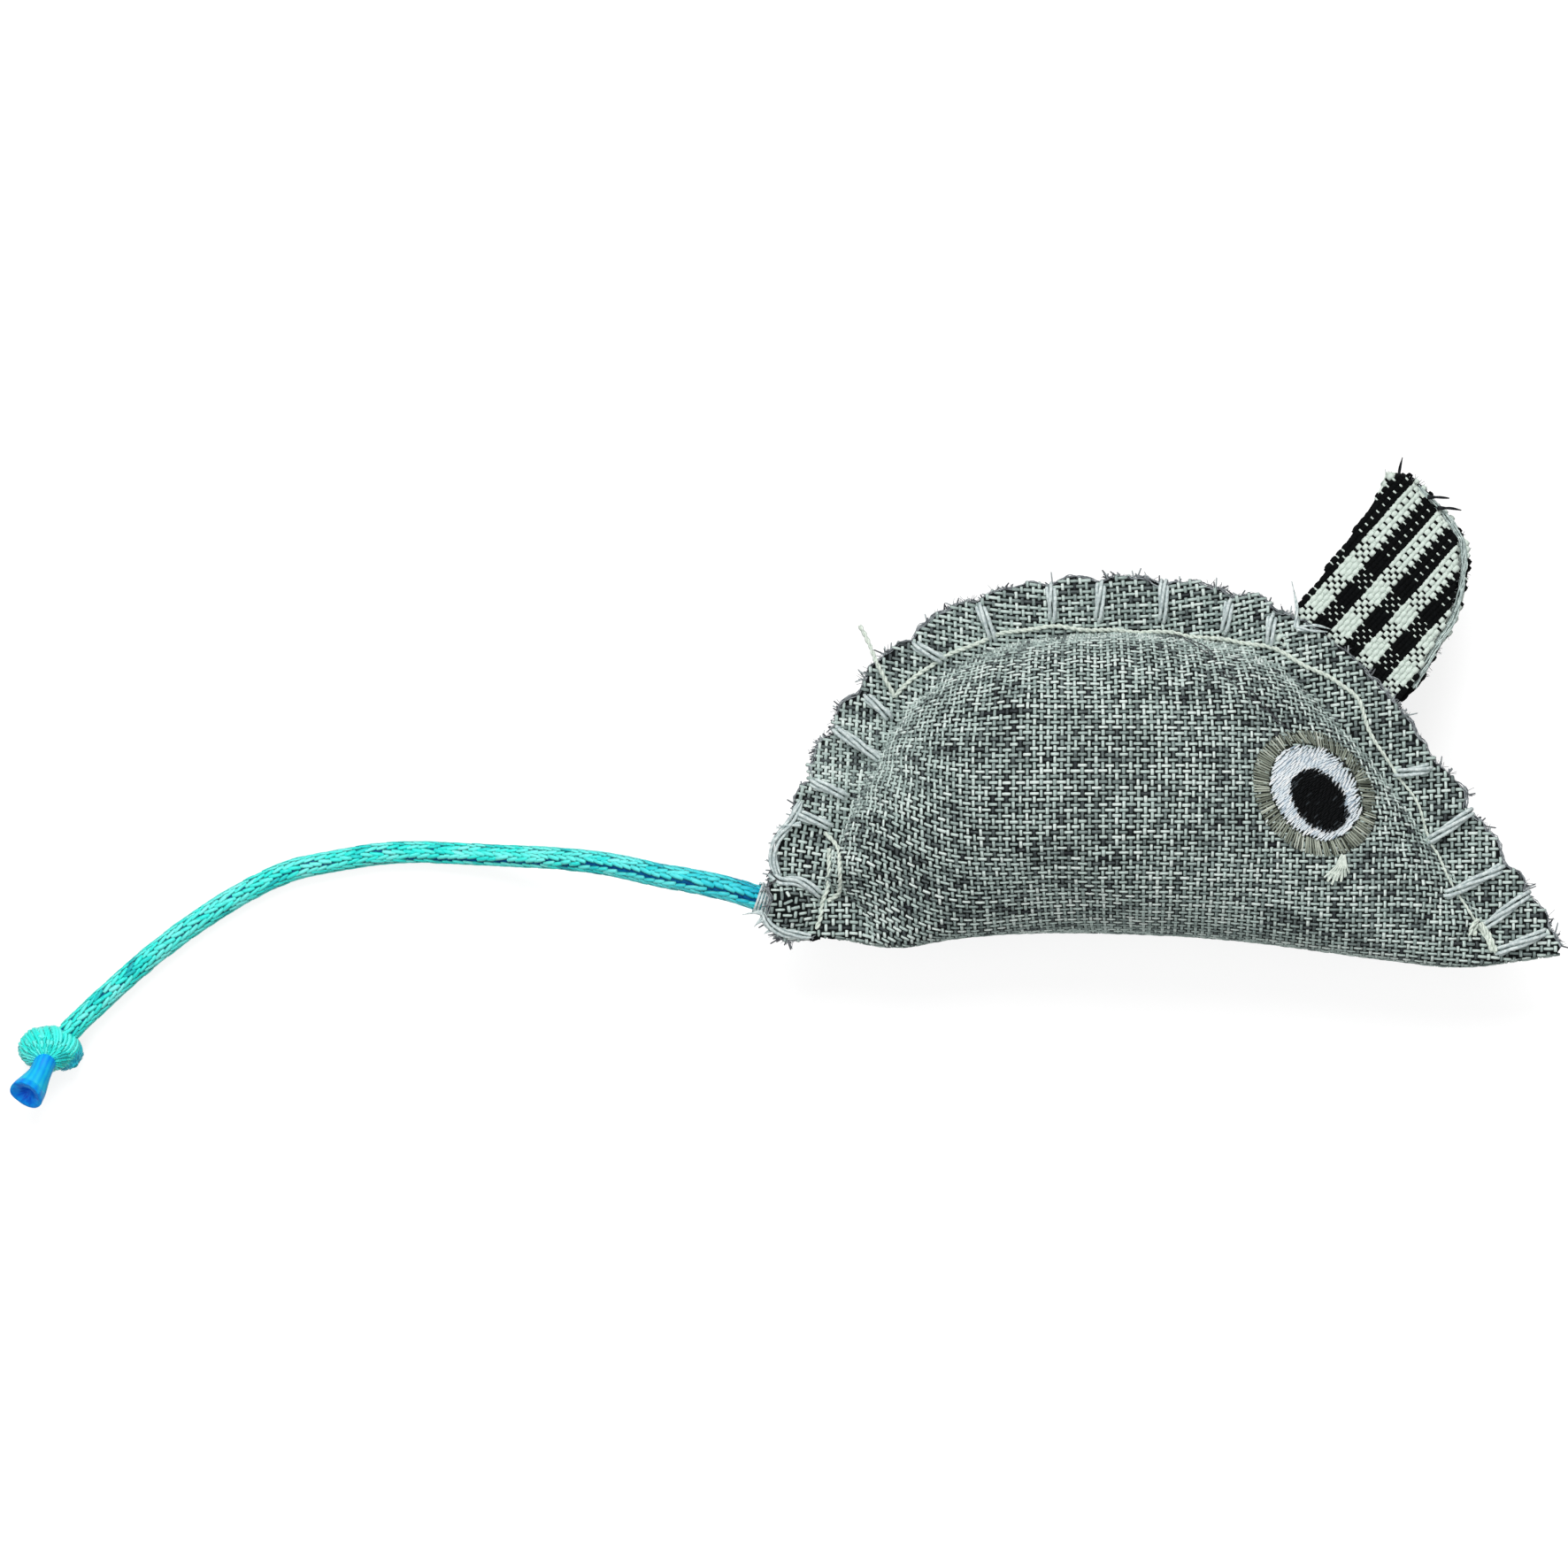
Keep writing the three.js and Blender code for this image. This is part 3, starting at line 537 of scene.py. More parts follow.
# plain weave laid on a surface by its own map: one float for each crossing
def weaveTree():
    tree, start, end = newTree(
        "plainWeave", Int="Columns, Rows, Check, Weft Check, Split, Seed",
        Float="Warp Pitch, Weft Pitch, Sheet, Waver", Vector="Warp Float, Weft Float",
        Object="Thread", Material="Material")
    row, column = cellOf(tree, start["Columns"])
    flat = vectorOf(tree, (column + 0.5) * start["Warp Pitch"], (row + 0.5) * start["Weft Pitch"],
                    start["Seed"] * 0.01)
    drift = blur(flat, 220.0)["Color"] - (0.5, 0.5, 0.5)
    onMap = (flat + drift * start["Waver"]) / vectorOf(tree, start["Sheet"], start["Sheet"], 1.0)

    def sample(value, place):
        return put(tree, "GeometryNodeSampleUVSurface",
                   {"Mesh": start["Geometry"], "Value": value, "UV Map": read(tree, "cloth", "FLOAT_VECTOR"),
                    "Sample UV": place}, data_type="FLOAT_VECTOR")

    spot = put(tree, "GeometryNodeInputPosition")
    nextTo = 0.0004
    here = sample(spot, onMap)
    beside = sample(spot, onMap + (nextTo, 0, 0))
    above = sample(spot, onMap + (0, nextTo, 0))
    up = sample(put(tree, "GeometryNodeInputNormal"), onMap)
    weftWay = (beside - here).do("NORMALIZE")
    warpWay = (above - here).do("NORMALIZE")
    valid = here["Is Valid"] * (beside["Is Valid"] * above["Is Valid"])
    odd = (column + row) % 2.0
    even = 1.0 - odd

    # tone drifts along each yarn and jumps from yarn to yarn
    def drifting(c, r, shift):
        place = vectorOf(tree, column * c, row * r, start["Seed"] + shift)
        return mapRange(blur(place, 1.0, 3), 0.25, 0.7, 0.1, 0.95)

    def banded(count, width):
        return (count / width.do("MAXIMUM", 1.0)).do("FLOOR") % 2.0

    def mix(factor, a, b):
        return a + factor * (b - a)

    melange = mix(odd, drifting(3.7, 0.11, 0.5), drifting(0.09, 3.3, 9.5)) + chance(tree, -0.28, 0.28, 3)
    # past the split the weft changes colour at every pick
    picks = mix(row.do("GREATER_THAN", start["Split"]), banded(row, start["Weft Check"]), row % 2.0)
    checks = mix(odd, banded(column, start["Check"]), picks) + chance(tree, -0.12, 0.12, 4)
    gingham = start["Check"].do("MINIMUM", 1.0)
    tone = mix(gingham, melange, checks)
    points = put(tree, "GeometryNodePoints", {"Count": start["Columns"] * start["Rows"]})
    points = moveTo(keep(points, "tone", "FLOAT", clamped(tone)), here)
    uneven = chance(tree, (0.9, 0.88, 0.85), (1.1, 1.12, 1.15), 5, "FLOAT_VECTOR")
    # in the gingham the black weft is fuller than the white
    black = gingham * tone.do("LESS_THAN", 0.5)
    fuller = vectorOf(tree, black * 0.25, black * 0.6, black * 0.15) + (1.0, 1.0, 1.0)
    warp = threadsOn(points, start["Thread"], (up, warpWay), "ZX", start["Warp Float"] * uneven, even * valid)
    weft = threadsOn(points, start["Thread"], (up, weftWay), "ZX", start["Weft Float"] * (uneven * fuller),
                     odd * valid)
    return finishTree(dress(joined(tree, warp, weft), start["Material"]), end)


# a yarn of several strands twisted together along each line
def yarnTree():
    tree, start, end = newTree(
        "twistedYarn", Int="Strands", Float="Strand Radius, Spread, Turns, Spacing, Fuzz",
        Material="Material")
    copies = put(tree, "GeometryNodeDuplicateElements",
                 {"Geometry": curveOf(start, start["Spacing"]), "Amount": start["Strands"]}, domain="SPLINE")
    number = copies["Duplicate Index"]
    length = put(tree, "GeometryNodeSplineParameter")["Length"]
    angle = (number / start["Strands"] + length * start["Turns"]) * math.tau
    normal = put(tree, "GeometryNodeInputNormal")
    side = put(tree, "GeometryNodeInputTangent").do("CROSS_PRODUCT", normal)
    thin = read(tree, "thin")
    ring = normal * angle.do("COSINE") + side * angle.do("SINE")
    place = put(tree, "GeometryNodeInputPosition") + vectorOf(tree, 0.0, 0.0, number * 0.05)
    loose = blur(place, 900.0)["Color"] - (0.5, 0.5, 0.5)
    offset = ring * start["Spread"] * thin + loose * start["Fuzz"]
    bent = put(tree, "GeometryNodeSetPosition", {"Geometry": copies["Geometry"], "Offset": offset})
    return finishTree(dress(tubeOn(bent, start["Strand Radius"], 6, thin), start["Material"]), end)


# knitted satin cord: a dark core, painted shade that shows between the stitches and in the slit, and
# leaf-shaped stitches staggered like bricks
def knitTree():
    coreShare = 0.86
    ahead = 0.0002
    slit = dict(winds=1300.0, winding=0.13, narrow=-4.0, fade=0.7, pulses=1900.0, pulse=0.32, mean=0.72)
    tree, start, end = newTree(
        "knittedCord", Int="Round",
        Float="Radius, Step, Lean, Blue, Slit Length, Slit Turn, Slit Fall, Slit Reach, Gather",
        Vector="Stitch", Object="Thread", Material="Core, Material")
    curve = curveOf(start, 0.0003)
    thin = read(tree, "thin")
    tube = keep(tubeOn(curve, start["Radius"] * coreShare, 18, thin), "tone", "FLOAT", start["Gather"] * 0.42)
    tube = put(tree, "GeometryNodeSetMaterial", {"Geometry": tube, "Material": start["Core"]})
    whole = put(tree, "GeometryNodeCurveLength", {"Curve": curve})
    steps = (whole / start["Step"]).do("FLOOR")
    row, column = cellOf(tree, steps)
    brick = row % 2.0 * 0.5
    run = (column + brick + chance(tree, 0.15, 0.35, 1)) * start["Step"]
    # on a ball the stitches are spread along the meridian
    curved = (1.0 - (run * math.pi / whole).do("COSINE")) * (whole * 0.5)
    run = run + start["Gather"] * (curved - run)

    def sample(length):
        return put(tree, "GeometryNodeSampleCurve", {"Curves": curve, "Value": thin, "Length": length},
                   data_type="FLOAT", mode="LENGTH")

    spot = sample(run)
    turn = row / start["Round"] * math.tau + chance(tree, -0.08, 0.08, 2)
    tangent, normal, width = spot["Tangent"], spot["Normal"], spot["Value"]
    outward = normal * turn.do("COSINE") + tangent.do("CROSS_PRODUCT", normal) * turn.do("SINE")
    around = tangent.do("CROSS_PRODUCT", outward)
    # the stitches part along a slit that winds along the top of the cord and sinks to its side
    level = tangent.do("CROSS_PRODUCT", (0.0, 0.0, 1.0)).do("NORMALIZE")
    across = outward.do("DOT_PRODUCT", level)
    upward = outward.do("DOT_PRODUCT", level.do("CROSS_PRODUCT", tangent))
    winding = (run * slit["winds"]).do("SINE") * slit["winding"]
    away = across.do("ARCTAN2", upward) - (start["Slit Turn"] - run * run * start["Slit Fall"] + winding)
    near = (away * away * slit["narrow"]).do("EXPONENT")
    slitEnd = start["Slit Length"]
    fading = mapRange(run, slitEnd * slit["fade"], slitEnd, start["Slit Reach"], 0.0)
    pulse = (run * slit["pulses"]).do("SINE") * slit["pulse"] + slit["mean"]
    part = away.do("SIGN") * near * (fading * pulse)
    outward = outward * part.do("COSINE") + around * part.do("SINE")
    around = tangent.do("CROSS_PRODUCT", outward)
    # each stitch lies along the slope of the cord and leans to one side
    slope = (sample(run + ahead)["Value"] - width) * (start["Radius"] * (1 / ahead))
    way = tangent + outward * slope + around * (start["Lean"] * (brick * 4.0 - 1.0))
    place = spot["Position"] + outward * (start["Radius"] * width * coreShare)
    tone = mapRange(blur(place, 350.0), 0.3, 0.7, 0.15, 0.85) + chance(tree, -0.22, 0.22, 3)
    points = put(tree, "GeometryNodePoints", {"Count": steps * start["Round"]})
    points = keep(points, "tone", "FLOAT", clamped(tone))
    points = keep(points, "root", "FLOAT", mapRange(run, 0.0, start["Blue"], 0.8, 0.0))
    uneven = chance(tree, (0.9, 0.85, 0.8), (1.15, 1.15, 1.2), 5, "FLOAT_VECTOR")
    size = start["Stitch"] * vectorOf(tree, width.do("MINIMUM", 1.0), width, 1.0) * uneven
    made = threadsOn(moveTo(points, place), start["Thread"], (way, outward), "XZ", size)
    return finishTree(joined(tree, tube, dress(made, start["Material"])), end)


# short threads on given points, each along its own way, dropped onto the cloth from one side
def satinTree():
    tree, start, end = newTree("satinStitches", Float="Side, Lift, Thickness, Width", Object="Cloth, Thread",
                               Material="Material")
    source = put(tree, "GeometryNodeInputPosition") + vectorOf(tree, 0.0, 0.0, start["Side"] * 0.05)
    ray = put(tree, "GeometryNodeRaycast",
              {"Target Geometry": shapeOf(start["Cloth"]), "Source Position": source,
               "Ray Direction": vectorOf(tree, 0.0, 0.0, start["Side"] * -1.0), "Ray Length": 0.1})
    up = ray["Hit Normal"]
    held = keep(start["Geometry"], "up", "FLOAT_VECTOR", up)
    held = keep(held, "spot", "FLOAT_VECTOR", ray["Hit Position"] + up * start["Lift"])
    held = keep(held, "hit", "FLOAT", ray["Is Hit"])
    spot = read(tree, "spot", "FLOAT_VECTOR")
    points = put(tree, "GeometryNodeMeshToPoints", {"Mesh": held, "Position": spot})
    ways = [read(tree, name, "FLOAT_VECTOR") for name in ("up", "lay")]
    size = vectorOf(tree, read(tree, "long"), start["Width"], start["Thickness"])
    made = threadsOn(points, start["Thread"], ways, "ZX", size, read(tree, "hit"))
    return finishTree(dress(made, start["Material"]), end)


# fine fibres that stand out of a raw edge
def frayTree():
    tree, start, end = newTree("frayedEdge", Int="Count, Seed",
                               Float="Shortest, Longest, Thickness, Rise, Swing, Tufts",
                               Object="Thread", Material="Material")
    curve = put(tree, "GeometryNodeMeshToCurve", {"Mesh": start["Geometry"]})
    seed = start["Seed"]
    spot = put(tree, "GeometryNodeSampleCurve", {"Curves": curve, "Factor": chance(tree, 0.0, 1.0, seed)},
               data_type="FLOAT", mode="FACTOR", use_all_curves=True)
    tangent, place = spot["Tangent"], spot["Position"]
    outward = calc(tree, "CROSS_PRODUCT", (0.0, 0.0, 1.0), tangent).do("NORMALIZE")
    way = outward + tangent * (chance(tree, -1.0, 1.0, seed + 1) * start["Swing"])
    rise = vectorOf(tree, 0.0, 0.0, chance(tree, -1.0, 1.0, seed + 2) * start["Rise"])
    way = (way + rise).do("NORMALIZE")
    pick = chance(tree, 0.0, 1.0, seed + 3).do("POWER", 2.5)
    length = mapRange(pick, 0.0, 1.0, start["Shortest"], start["Longest"])
    points = put(tree, "GeometryNodePoints", {"Count": start["Count"]})
    points = keep(points, "tone", "FLOAT", chance(tree, 0.0, 1.0, seed + 4))
    points = moveTo(points, place + way * (length * 0.36))
    size = vectorOf(tree, length, start["Thickness"], start["Thickness"])
    tufted = blur(place, 420.0).do("GREATER_THAN", start["Tufts"])
    made = threadsOn(points, start["Thread"], (way, tangent), "XZ", size, tufted)
    return finishTree(dress(made, start["Material"]), end)


plainWeave, twistedYarn, knittedCord = weaveTree(), yarnTree(), knitTree()
satinStitches, frayedEdge = satinTree(), frayTree()
print("stage: trees")


def weaveOn(name, panel, cloth, columns, rows, seed, material):
    return grow(name, panel, plainWeave, Columns=columns, Rows=rows, WarpPitch=cloth["warpPitch"] * mm,
                WeftPitch=cloth["weftPitch"] * mm, Sheet=cloth["sheet"] * mm, Waver=cloth["waver"] * mm,
                WarpFloat=inMetres(cloth["warpFloat"]), WeftFloat=inMetres(cloth["weftFloat"]),
                Check=cloth["check"], WeftCheck=cloth["weftCheck"], Split=cloth["split"], Seed=seed,
                Thread=threadShape, Material=material)


def spin(name, lines, thread, material, thins=None, **layers):
    mesh = carry(linesOf(name + "Line", lines, thins), **layers)
    return grow(name, mesh, twistedYarn, Strands=thread["strands"], StrandRadius=thread["strand"] * mm,
                Spread=thread["spread"] * mm, Turns=float(thread["turns"]), Spacing=thread["spacing"] * mm,
                Fuzz=thread["fuzz"] * mm, Material=material)


def knitOn(name, line, wide, cord, core, material, **more):
    return grow(name, linesOf(name + "Line", [line], [wide]), knittedCord, Radius=cord["radius"] * mm,
                Round=cord["round"], Step=cord["step"] * mm, Stitch=inMetres(cord["stitch"]),
                Lean=cord["lean"], Thread=threadShape, Core=core, Material=material, **more)


def frayOn(name, lines, edge, seed):
    return grow(name, linesOf(name + "Line", lines), frayedEdge, Count=edge["count"],
                Shortest=edge["shortest"] * mm, Longest=edge["longest"] * mm, Thickness=edge["thick"] * mm,
                Rise=edge["rise"], Swing=edge["swing"], Tufts=edge["tufts"], Seed=seed, Thread=threadShape,
                Material=frayFibre)


# tail cord: its route is the one of the solids
tail = dict(radius=1.1, hinge=(-37.581, -10.248, 11.5), round=12, step=1.05, stitch=(1.46, 0.57, 0.36),
            lean=0.2, blue=26, slit=52, slitTurn=-0.16, slitFall=470.0, slitReach=0.22, rootWide=1.16,
            rootRun=6, bendStart=(1.5, -0.4, 0), bendEnd=(-20, 2.9, -8))
tailRoute = [(7.4, -2.0, 1), (5.6, -1.55, 1), (4.2, -1.2, 1), (2.2, -0.55, 1), (0, 0, 1), (-2.4, .5, .98),
             (-4.9, .9, .92), (-9.4, 1.9, .73), (-13.8, 2.5, .5), (-18.2, 2.8, .28), (-22.6, 3, .12),
             (-27.1, 3.2, .03), (-29.3, 3.3, .01), (-33.7, 3.1, .005), (-38.1, 2.4, .005), (-42.6, 1.4, .005),
             (-47, -.6, .005), (-51.4, -3.3, .01), (-55.9, -6.6, .04), (-60.3, -10.4, .09), (-64.1, -14, .12),
             (-65.6, -15.5, .12)]
hinge = np.array(tail["hinge"])
tailLine = smoothLine([(hinge[0] + x, hinge[1] + y, tail["radius"] + h * (hinge[2] - tail["radius"]))
                       for x, y, h in tailRoute], 160)
tailRun = runOf(tailLine)
tailWide = np.interp(tailRun, [0, tail["rootRun"], tail["blue"]], [tail["rootWide"], tail["rootWide"], 1.0])
tailCord = knitOn("tailCord", tailLine, tailWide, tail, satinShadeCore, satinKnit, Blue=tail["blue"] * mm,
                  SlitLength=tail["slit"] * mm, SlitTurn=tail["slitTurn"], SlitFall=tail["slitFall"],
                  SlitReach=tail["slitReach"])
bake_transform(tailCord)
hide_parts("tail_cord", "tail_root")
print("stage: tail cord, %.1f mm" % tailRun[-1], len(tailCord.data.polygons))


# body: one sheet folded along the belly, sewn round, stuffed
body = dict(length=80.4, height=38.9, thickness=24, cloth=0.6, allowance=5.6, originShare=(0.4117, 0.4756),
            seamHeight=11.5, middle=0.45, sections=240, rows=66, spacing=1.5, edgePower=0.55, foldPower=0.5,
            headFrom=0.35, headLess=0.3, scallop=0.38, notch=0.45, flare=0.1, jag=0.22, least=0.2,
            noseFrom=2.5, noseTo=0.4, earPlace=(26.2, 13.2), earRoom=0.6, earReach=7.5, ground=0.12, wall=0.4,
            floorGap=0.36, topEase=0.8, rayHeight=60, offCloth=0.6)
tunnel = dict(edgePoint=3, turn=2.92, height=2.0, half=3.5, start=3.6, end=7.4, drawn=0.75, drawnReach=2.0)
pucker = dict(depth=0.6, reach=1.5, ripple=0.26, wave=1.9, rippleAt=8, rippleReach=3.0)
lumps = [(.22, .31, .4, .37, 1.1), (.16, .53, 2.2, .47, .3), (.1, .83, 1.2, .9, 2.0)]
crease = dict(route=[(9.4, 14.2), (20.0, 5.0)], depth=0.25, reach=0.5)
rawEdge = [(.0745, .0715), (.041, .0775), (.0165, .108), (.004, .177), (.025, .298), (.076, .55), (.15, .782),
           (.269, .946), (.423, 1), (.543, .982), (.666, .91), (.794, .668), (.88, .429), (.95, .224),
           (1, .054)]
bellyFold = [(.078, .0705), (.094, .0735), (.142, .063), (.18, .059), (.25, .082), (.335, .095), (.467, .093),
             (.6, .075), (.798, .022), (.876, .008), (.994, .036)]
# each overcast stitch, from the raw edge to its hole by the seam
stitches = [((-31.3, -9.5), (-26.7, -11.1)), ((-28.9, -3.2), (-25.9, -4.3)), ((-27.4, 0), (-24.3, -1.3)),
            ((-25.1, 5.2), (-21, 2.5)), ((-22, 8.4), (-19.9, 6.6)), ((-17.2, 13.6), (-14.6, 12.4)),
            ((-10.8, 17.4), (-9.5, 14.4)), ((-3.8, 19.3), (-3.6, 16.3)), ((1.2, 19.6), (1, 16.3)),
            ((7.5, 19.7), (7.4, 16.2)), ((14, 17.8), (13.6, 15.1)), ((18.3, 16.4), (18.1, 13.9)),
            ((33.8, 1.4), (30.8, .9)), ((37.9, -3.1), (34, -5.9)), ((41.1, -8.6), (35.5, -11.3)),
            ((43.6, -11.3), (39.4, -14.6)), ((45.3, -15.1), (40.8, -17))]


def onBody(shares):
    origin = body["originShare"]
    return [((a - origin[0]) * body["length"], (u - origin[1]) * body["height"]) for a, u in shares]


edgeLine = smoothLine(onBody(rawEdge), body["sections"] + 1)
foldLine = smoothLine(onBody(bellyFold), body["sections"] + 1)
edgeRun = runOf(edgeLine)
edgeWay = np.gradient(edgeLine, axis=0)
edgeWay /= np.linalg.norm(edgeWay, axis=1)[:, None]
edgeOut = np.stack([-edgeWay[:, 1], edgeWay[:, 0]], 1)
noise = np.random.default_rng(7)


def outAt(runs):
    return np.stack([np.interp(runs, edgeRun, edgeOut[:, k]) for k in range(2)], -1)


# the near panel swells between its edge and its fold, less so at the head
share = np.linspace(0, 1, body["rows"] + 1) ** body["spacing"]
flatGrid = foldLine[:, None, :] * (1 - share[None, :, None]) + edgeLine[:, None, :] * share[None, :, None]
sections, rows = flatGrid.shape[:2]
flat = flatGrid.reshape(-1, 2)
fromEdge, edgeAt = fromLine(flat, edgeLine)
fromFold, _ = fromLine(flat, foldLine)
head = flat[:, 0] / body["length"] + body["originShare"][0]
head = np.maximum(0, (head - body["headFrom"]) / (1 - body["headFrom"]))
swell = np.maximum(0, fromEdge - body["allowance"]) ** body["edgePower"] * fromFold ** body["foldPower"]
swell *= 1 - body["headLess"] * head
swell *= (body["thickness"] / 2 - body["middle"] - body["cloth"] / 2) / swell.max()
folded = body["middle"] * np.sqrt(1 - (1 - np.minimum(1, fromFold / body["middle"])) ** 2)
# the root of the tail lies in a tunnel between the layers
mouth = np.array(onBody(rawEdge)[tunnel["edgePoint"]])
tailOut = np.array([math.cos(tunnel["turn"]), math.sin(tunnel["turn"])])
inside = -(flat - mouth) @ tailOut
aside = np.abs((flat - mouth) @ np.array([-tailOut[1], tailOut[0]]))
vault = 0.5 + 0.5 * np.cos(math.pi * np.minimum(1, aside / tunnel["half"]))
vault *= tunnel["height"] * (1 - smoothStep(inside, tunnel["start"], tunnel["end"]))
lift = np.maximum(folded + swell, np.minimum(vault, fromFold))

# the yarn pulls the raw edge in at each stitch and at the tail, and lets it stand between them
pullPlaces = np.array([s[0] for s in stitches] + [mouth])
pulls = np.sort(np.append(fromLine(pullPlaces, edgeLine)[1], [0, edgeRun[-1]]))
gapOf = np.clip(np.searchsorted(pulls, edgeAt) - 1, 0, len(pulls) - 2)
phase = (edgeAt - pulls[gapOf]) / (pulls[gapOf + 1] - pulls[gapOf])
bulge = np.sin(math.pi * np.clip(phase, 0, 1)) ** 0.7
outer = np.clip(1 - fromEdge / body["allowance"], 0, 1)
jags = np.convolve(noise.normal(0, body["jag"], len(edgeRun)), [0.25, 0.5, 0.25], "same")
jag = np.interp(edgeAt, edgeRun, jags)
shift = (body["scallop"] * bulge - body["notch"] * (1 - bulge)) * outer + jag * outer ** 4
mouthAt = fromLine(mouth[None], edgeLine)[1][0]
shift -= tunnel["drawn"] * np.exp(-((edgeAt - mouthAt) / tunnel["drawnReach"]) ** 2) * outer
# the nose ends in a point
shift *= 1 - smoothStep(edgeAt, edgeRun[-1] - body["noseFrom"], edgeRun[-1] - body["noseTo"])
# puckers run from each stitch hole into the pouch
holes = np.array([s[1] for s in stitches])
toHole = np.min(np.linalg.norm(flat[:, None, :] - holes[None], axis=2), axis=1)
puckers = -pucker["depth"] * np.exp(-(toHole / pucker["reach"]) ** 2)
ripples = pucker["ripple"] * np.sin(edgeAt * pucker["wave"] + 2 * np.sin(edgeAt * 0.37))
ripples *= np.exp(-((fromEdge - pucker["rippleAt"]) / pucker["rippleReach"]) ** 2)
lumpy = sum(a * np.sin(flat[:, 0] * p + q) * np.sin(flat[:, 1] * r + s) for a, p, q, r, s in lumps)
lumpy *= smoothStep(fromEdge, 6, 12) * smoothStep(fromFold, 2, 9)
toCrease, _ = fromLine(flat, np.array(crease["route"]))
creased = -crease["depth"] * np.exp(-(toCrease / crease["reach"]) ** 2)
lift = lift + (puckers + ripples) * smoothStep(fromFold, 1, 3) + lumpy + creased
lift = np.maximum(lift, np.minimum(body["least"], fromFold))
# between the stitches, and round the ears, the layers stand apart
earAt = fromLine(np.array([body["earPlace"]]), edgeLine)[1][0]
room = body["flare"] * bulge + body["earRoom"] * np.exp(-((edgeAt - earAt) / body["earReach"]) ** 4)
lift += room * outer ** 1.5 * smoothStep(fromFold, 0.5, 3)
flatGrid = (flat + outAt(edgeAt) * shift[:, None]).reshape(sections, rows, 2)
nearGrid = np.dstack([flatGrid, body["seamHeight"] + lift.reshape(sections, rows)])
panelFaces = gridFaces(sections, rows)
print("stage: body form")


# the stuffed pouch is blown up by a cloth simulation held at the seam
pouch = dict(scale=10, pressure=4.0, frames=20, cap=0.8, mass=0.15, stiffness=25, bending=4, quality=6,
             heldEdge=(5.4, 6.4), heldFold=(0.0, 0.6))


def swellPouch(grid, held):
    helper = addPiece("pouchShape", meshOf("pouchShape", grid.reshape(-1, 3) * pouch["scale"], panelFaces))
    pins = helper.vertex_groups.new(name="held")
    for k in np.flatnonzero(held > 0):
        pins.add([int(k)], float(held[k]), "REPLACE")
    cloth = helper.modifiers.new("cloth", "CLOTH")
    settings = cloth.settings
    settings.quality = pouch["quality"]
    settings.mass = pouch["mass"]
    for way in ("tension", "compression", "shear"):
        setattr(settings, way + "_stiffness", pouch["stiffness"])
    settings.bending_stiffness = pouch["bending"]
    settings.use_pressure = True
    settings.uniform_pressure_force = pouch["pressure"]
    settings.vertex_group_mass = "held"
    settings.effector_weights.gravity = 0
    cloth.collision_settings.use_collision = False
    cloth.collision_settings.use_self_collision = False
    for step in range(1, pouch["frames"] + 1):
        scene.frame_set(step)
    blown = helper.evaluated_get(bpy.context.evaluated_depsgraph_get()).to_mesh()
    moved, _ = pointsAndNormals(blown)
    scene.frame_set(1)
    bpy.data.objects.remove(helper)
    change = moved.reshape(-1, 3) / mm / pouch["scale"] - grid.reshape(-1, 3)
    size = np.linalg.norm(change, axis=1, keepdims=True)
    change *= np.minimum(1, pouch["cap"] / np.maximum(size, 1e-9))
    return change.reshape(grid.shape)


held = np.maximum(1 - smoothStep(fromEdge, *pouch["heldEdge"]), 1 - smoothStep(fromFold, *pouch["heldFold"]))
change = swellPouch(nearGrid, held)
print("stage: cloth, moved up to %.2f mm" % np.abs(change).max())
nearGrid = nearGrid + change
# the top stays under the toy's thickness
ease = body["topEase"]
easeFrom = body["seamHeight"] + body["thickness"] / 2 - body["cloth"] / 2 - ease
over = nearGrid[:, :, 2] - easeFrom
nearGrid[:, :, 2] = np.where(over > 0, easeFrom + ease * np.tanh(over / ease), nearGrid[:, :, 2])
farGrid = nearGrid.copy()
farGrid[:, :, 2] = np.maximum(2 * body["seamHeight"] - nearGrid[:, :, 2], body["floorGap"])
flatMap = dict(crest=0.6, still=14, easing=20, rounds=300, smoothing=60, poor=0.3, askew=4.5, rear=(8, 24),
               low=(-4, 8))


# a flat map of the panel, unrolled from a line along its middle
def unroll(grid):
    crest = int(rows * flatMap["crest"])
    normal = np.cross(np.gradient(grid, axis=0), np.gradient(grid, axis=1))
    size = np.maximum(np.linalg.norm(normal, axis=2), 1e-12)
    normal *= np.sign(np.median(normal[..., 2])) / size[..., None]
    lean = np.maximum(np.linalg.norm(normal[..., :2], axis=2), 1e-6)
    uphill = -normal[..., :2] * ((1 - np.clip(normal[..., 2], 0, 1)) / lean ** 2)[..., None]

    def lay(a, b):
        step = grid[b] - grid[a]
        return step[..., :2] + (uphill[a] + uphill[b]) / 2 * step[..., 2:]

    along = lay(np.s_[:-1, crest], np.s_[1:, crest])
    across = lay(np.s_[:, :-1], np.s_[:, 1:])
    middle = grid[0, crest, :2] + np.concatenate([np.zeros((1, 2)), np.cumsum(along, axis=0)])
    run = np.concatenate([np.zeros((len(grid), 1, 2)), np.cumsum(across, axis=1)], axis=1)
    return middle[:, None] + run - run[:, crest:crest + 1]


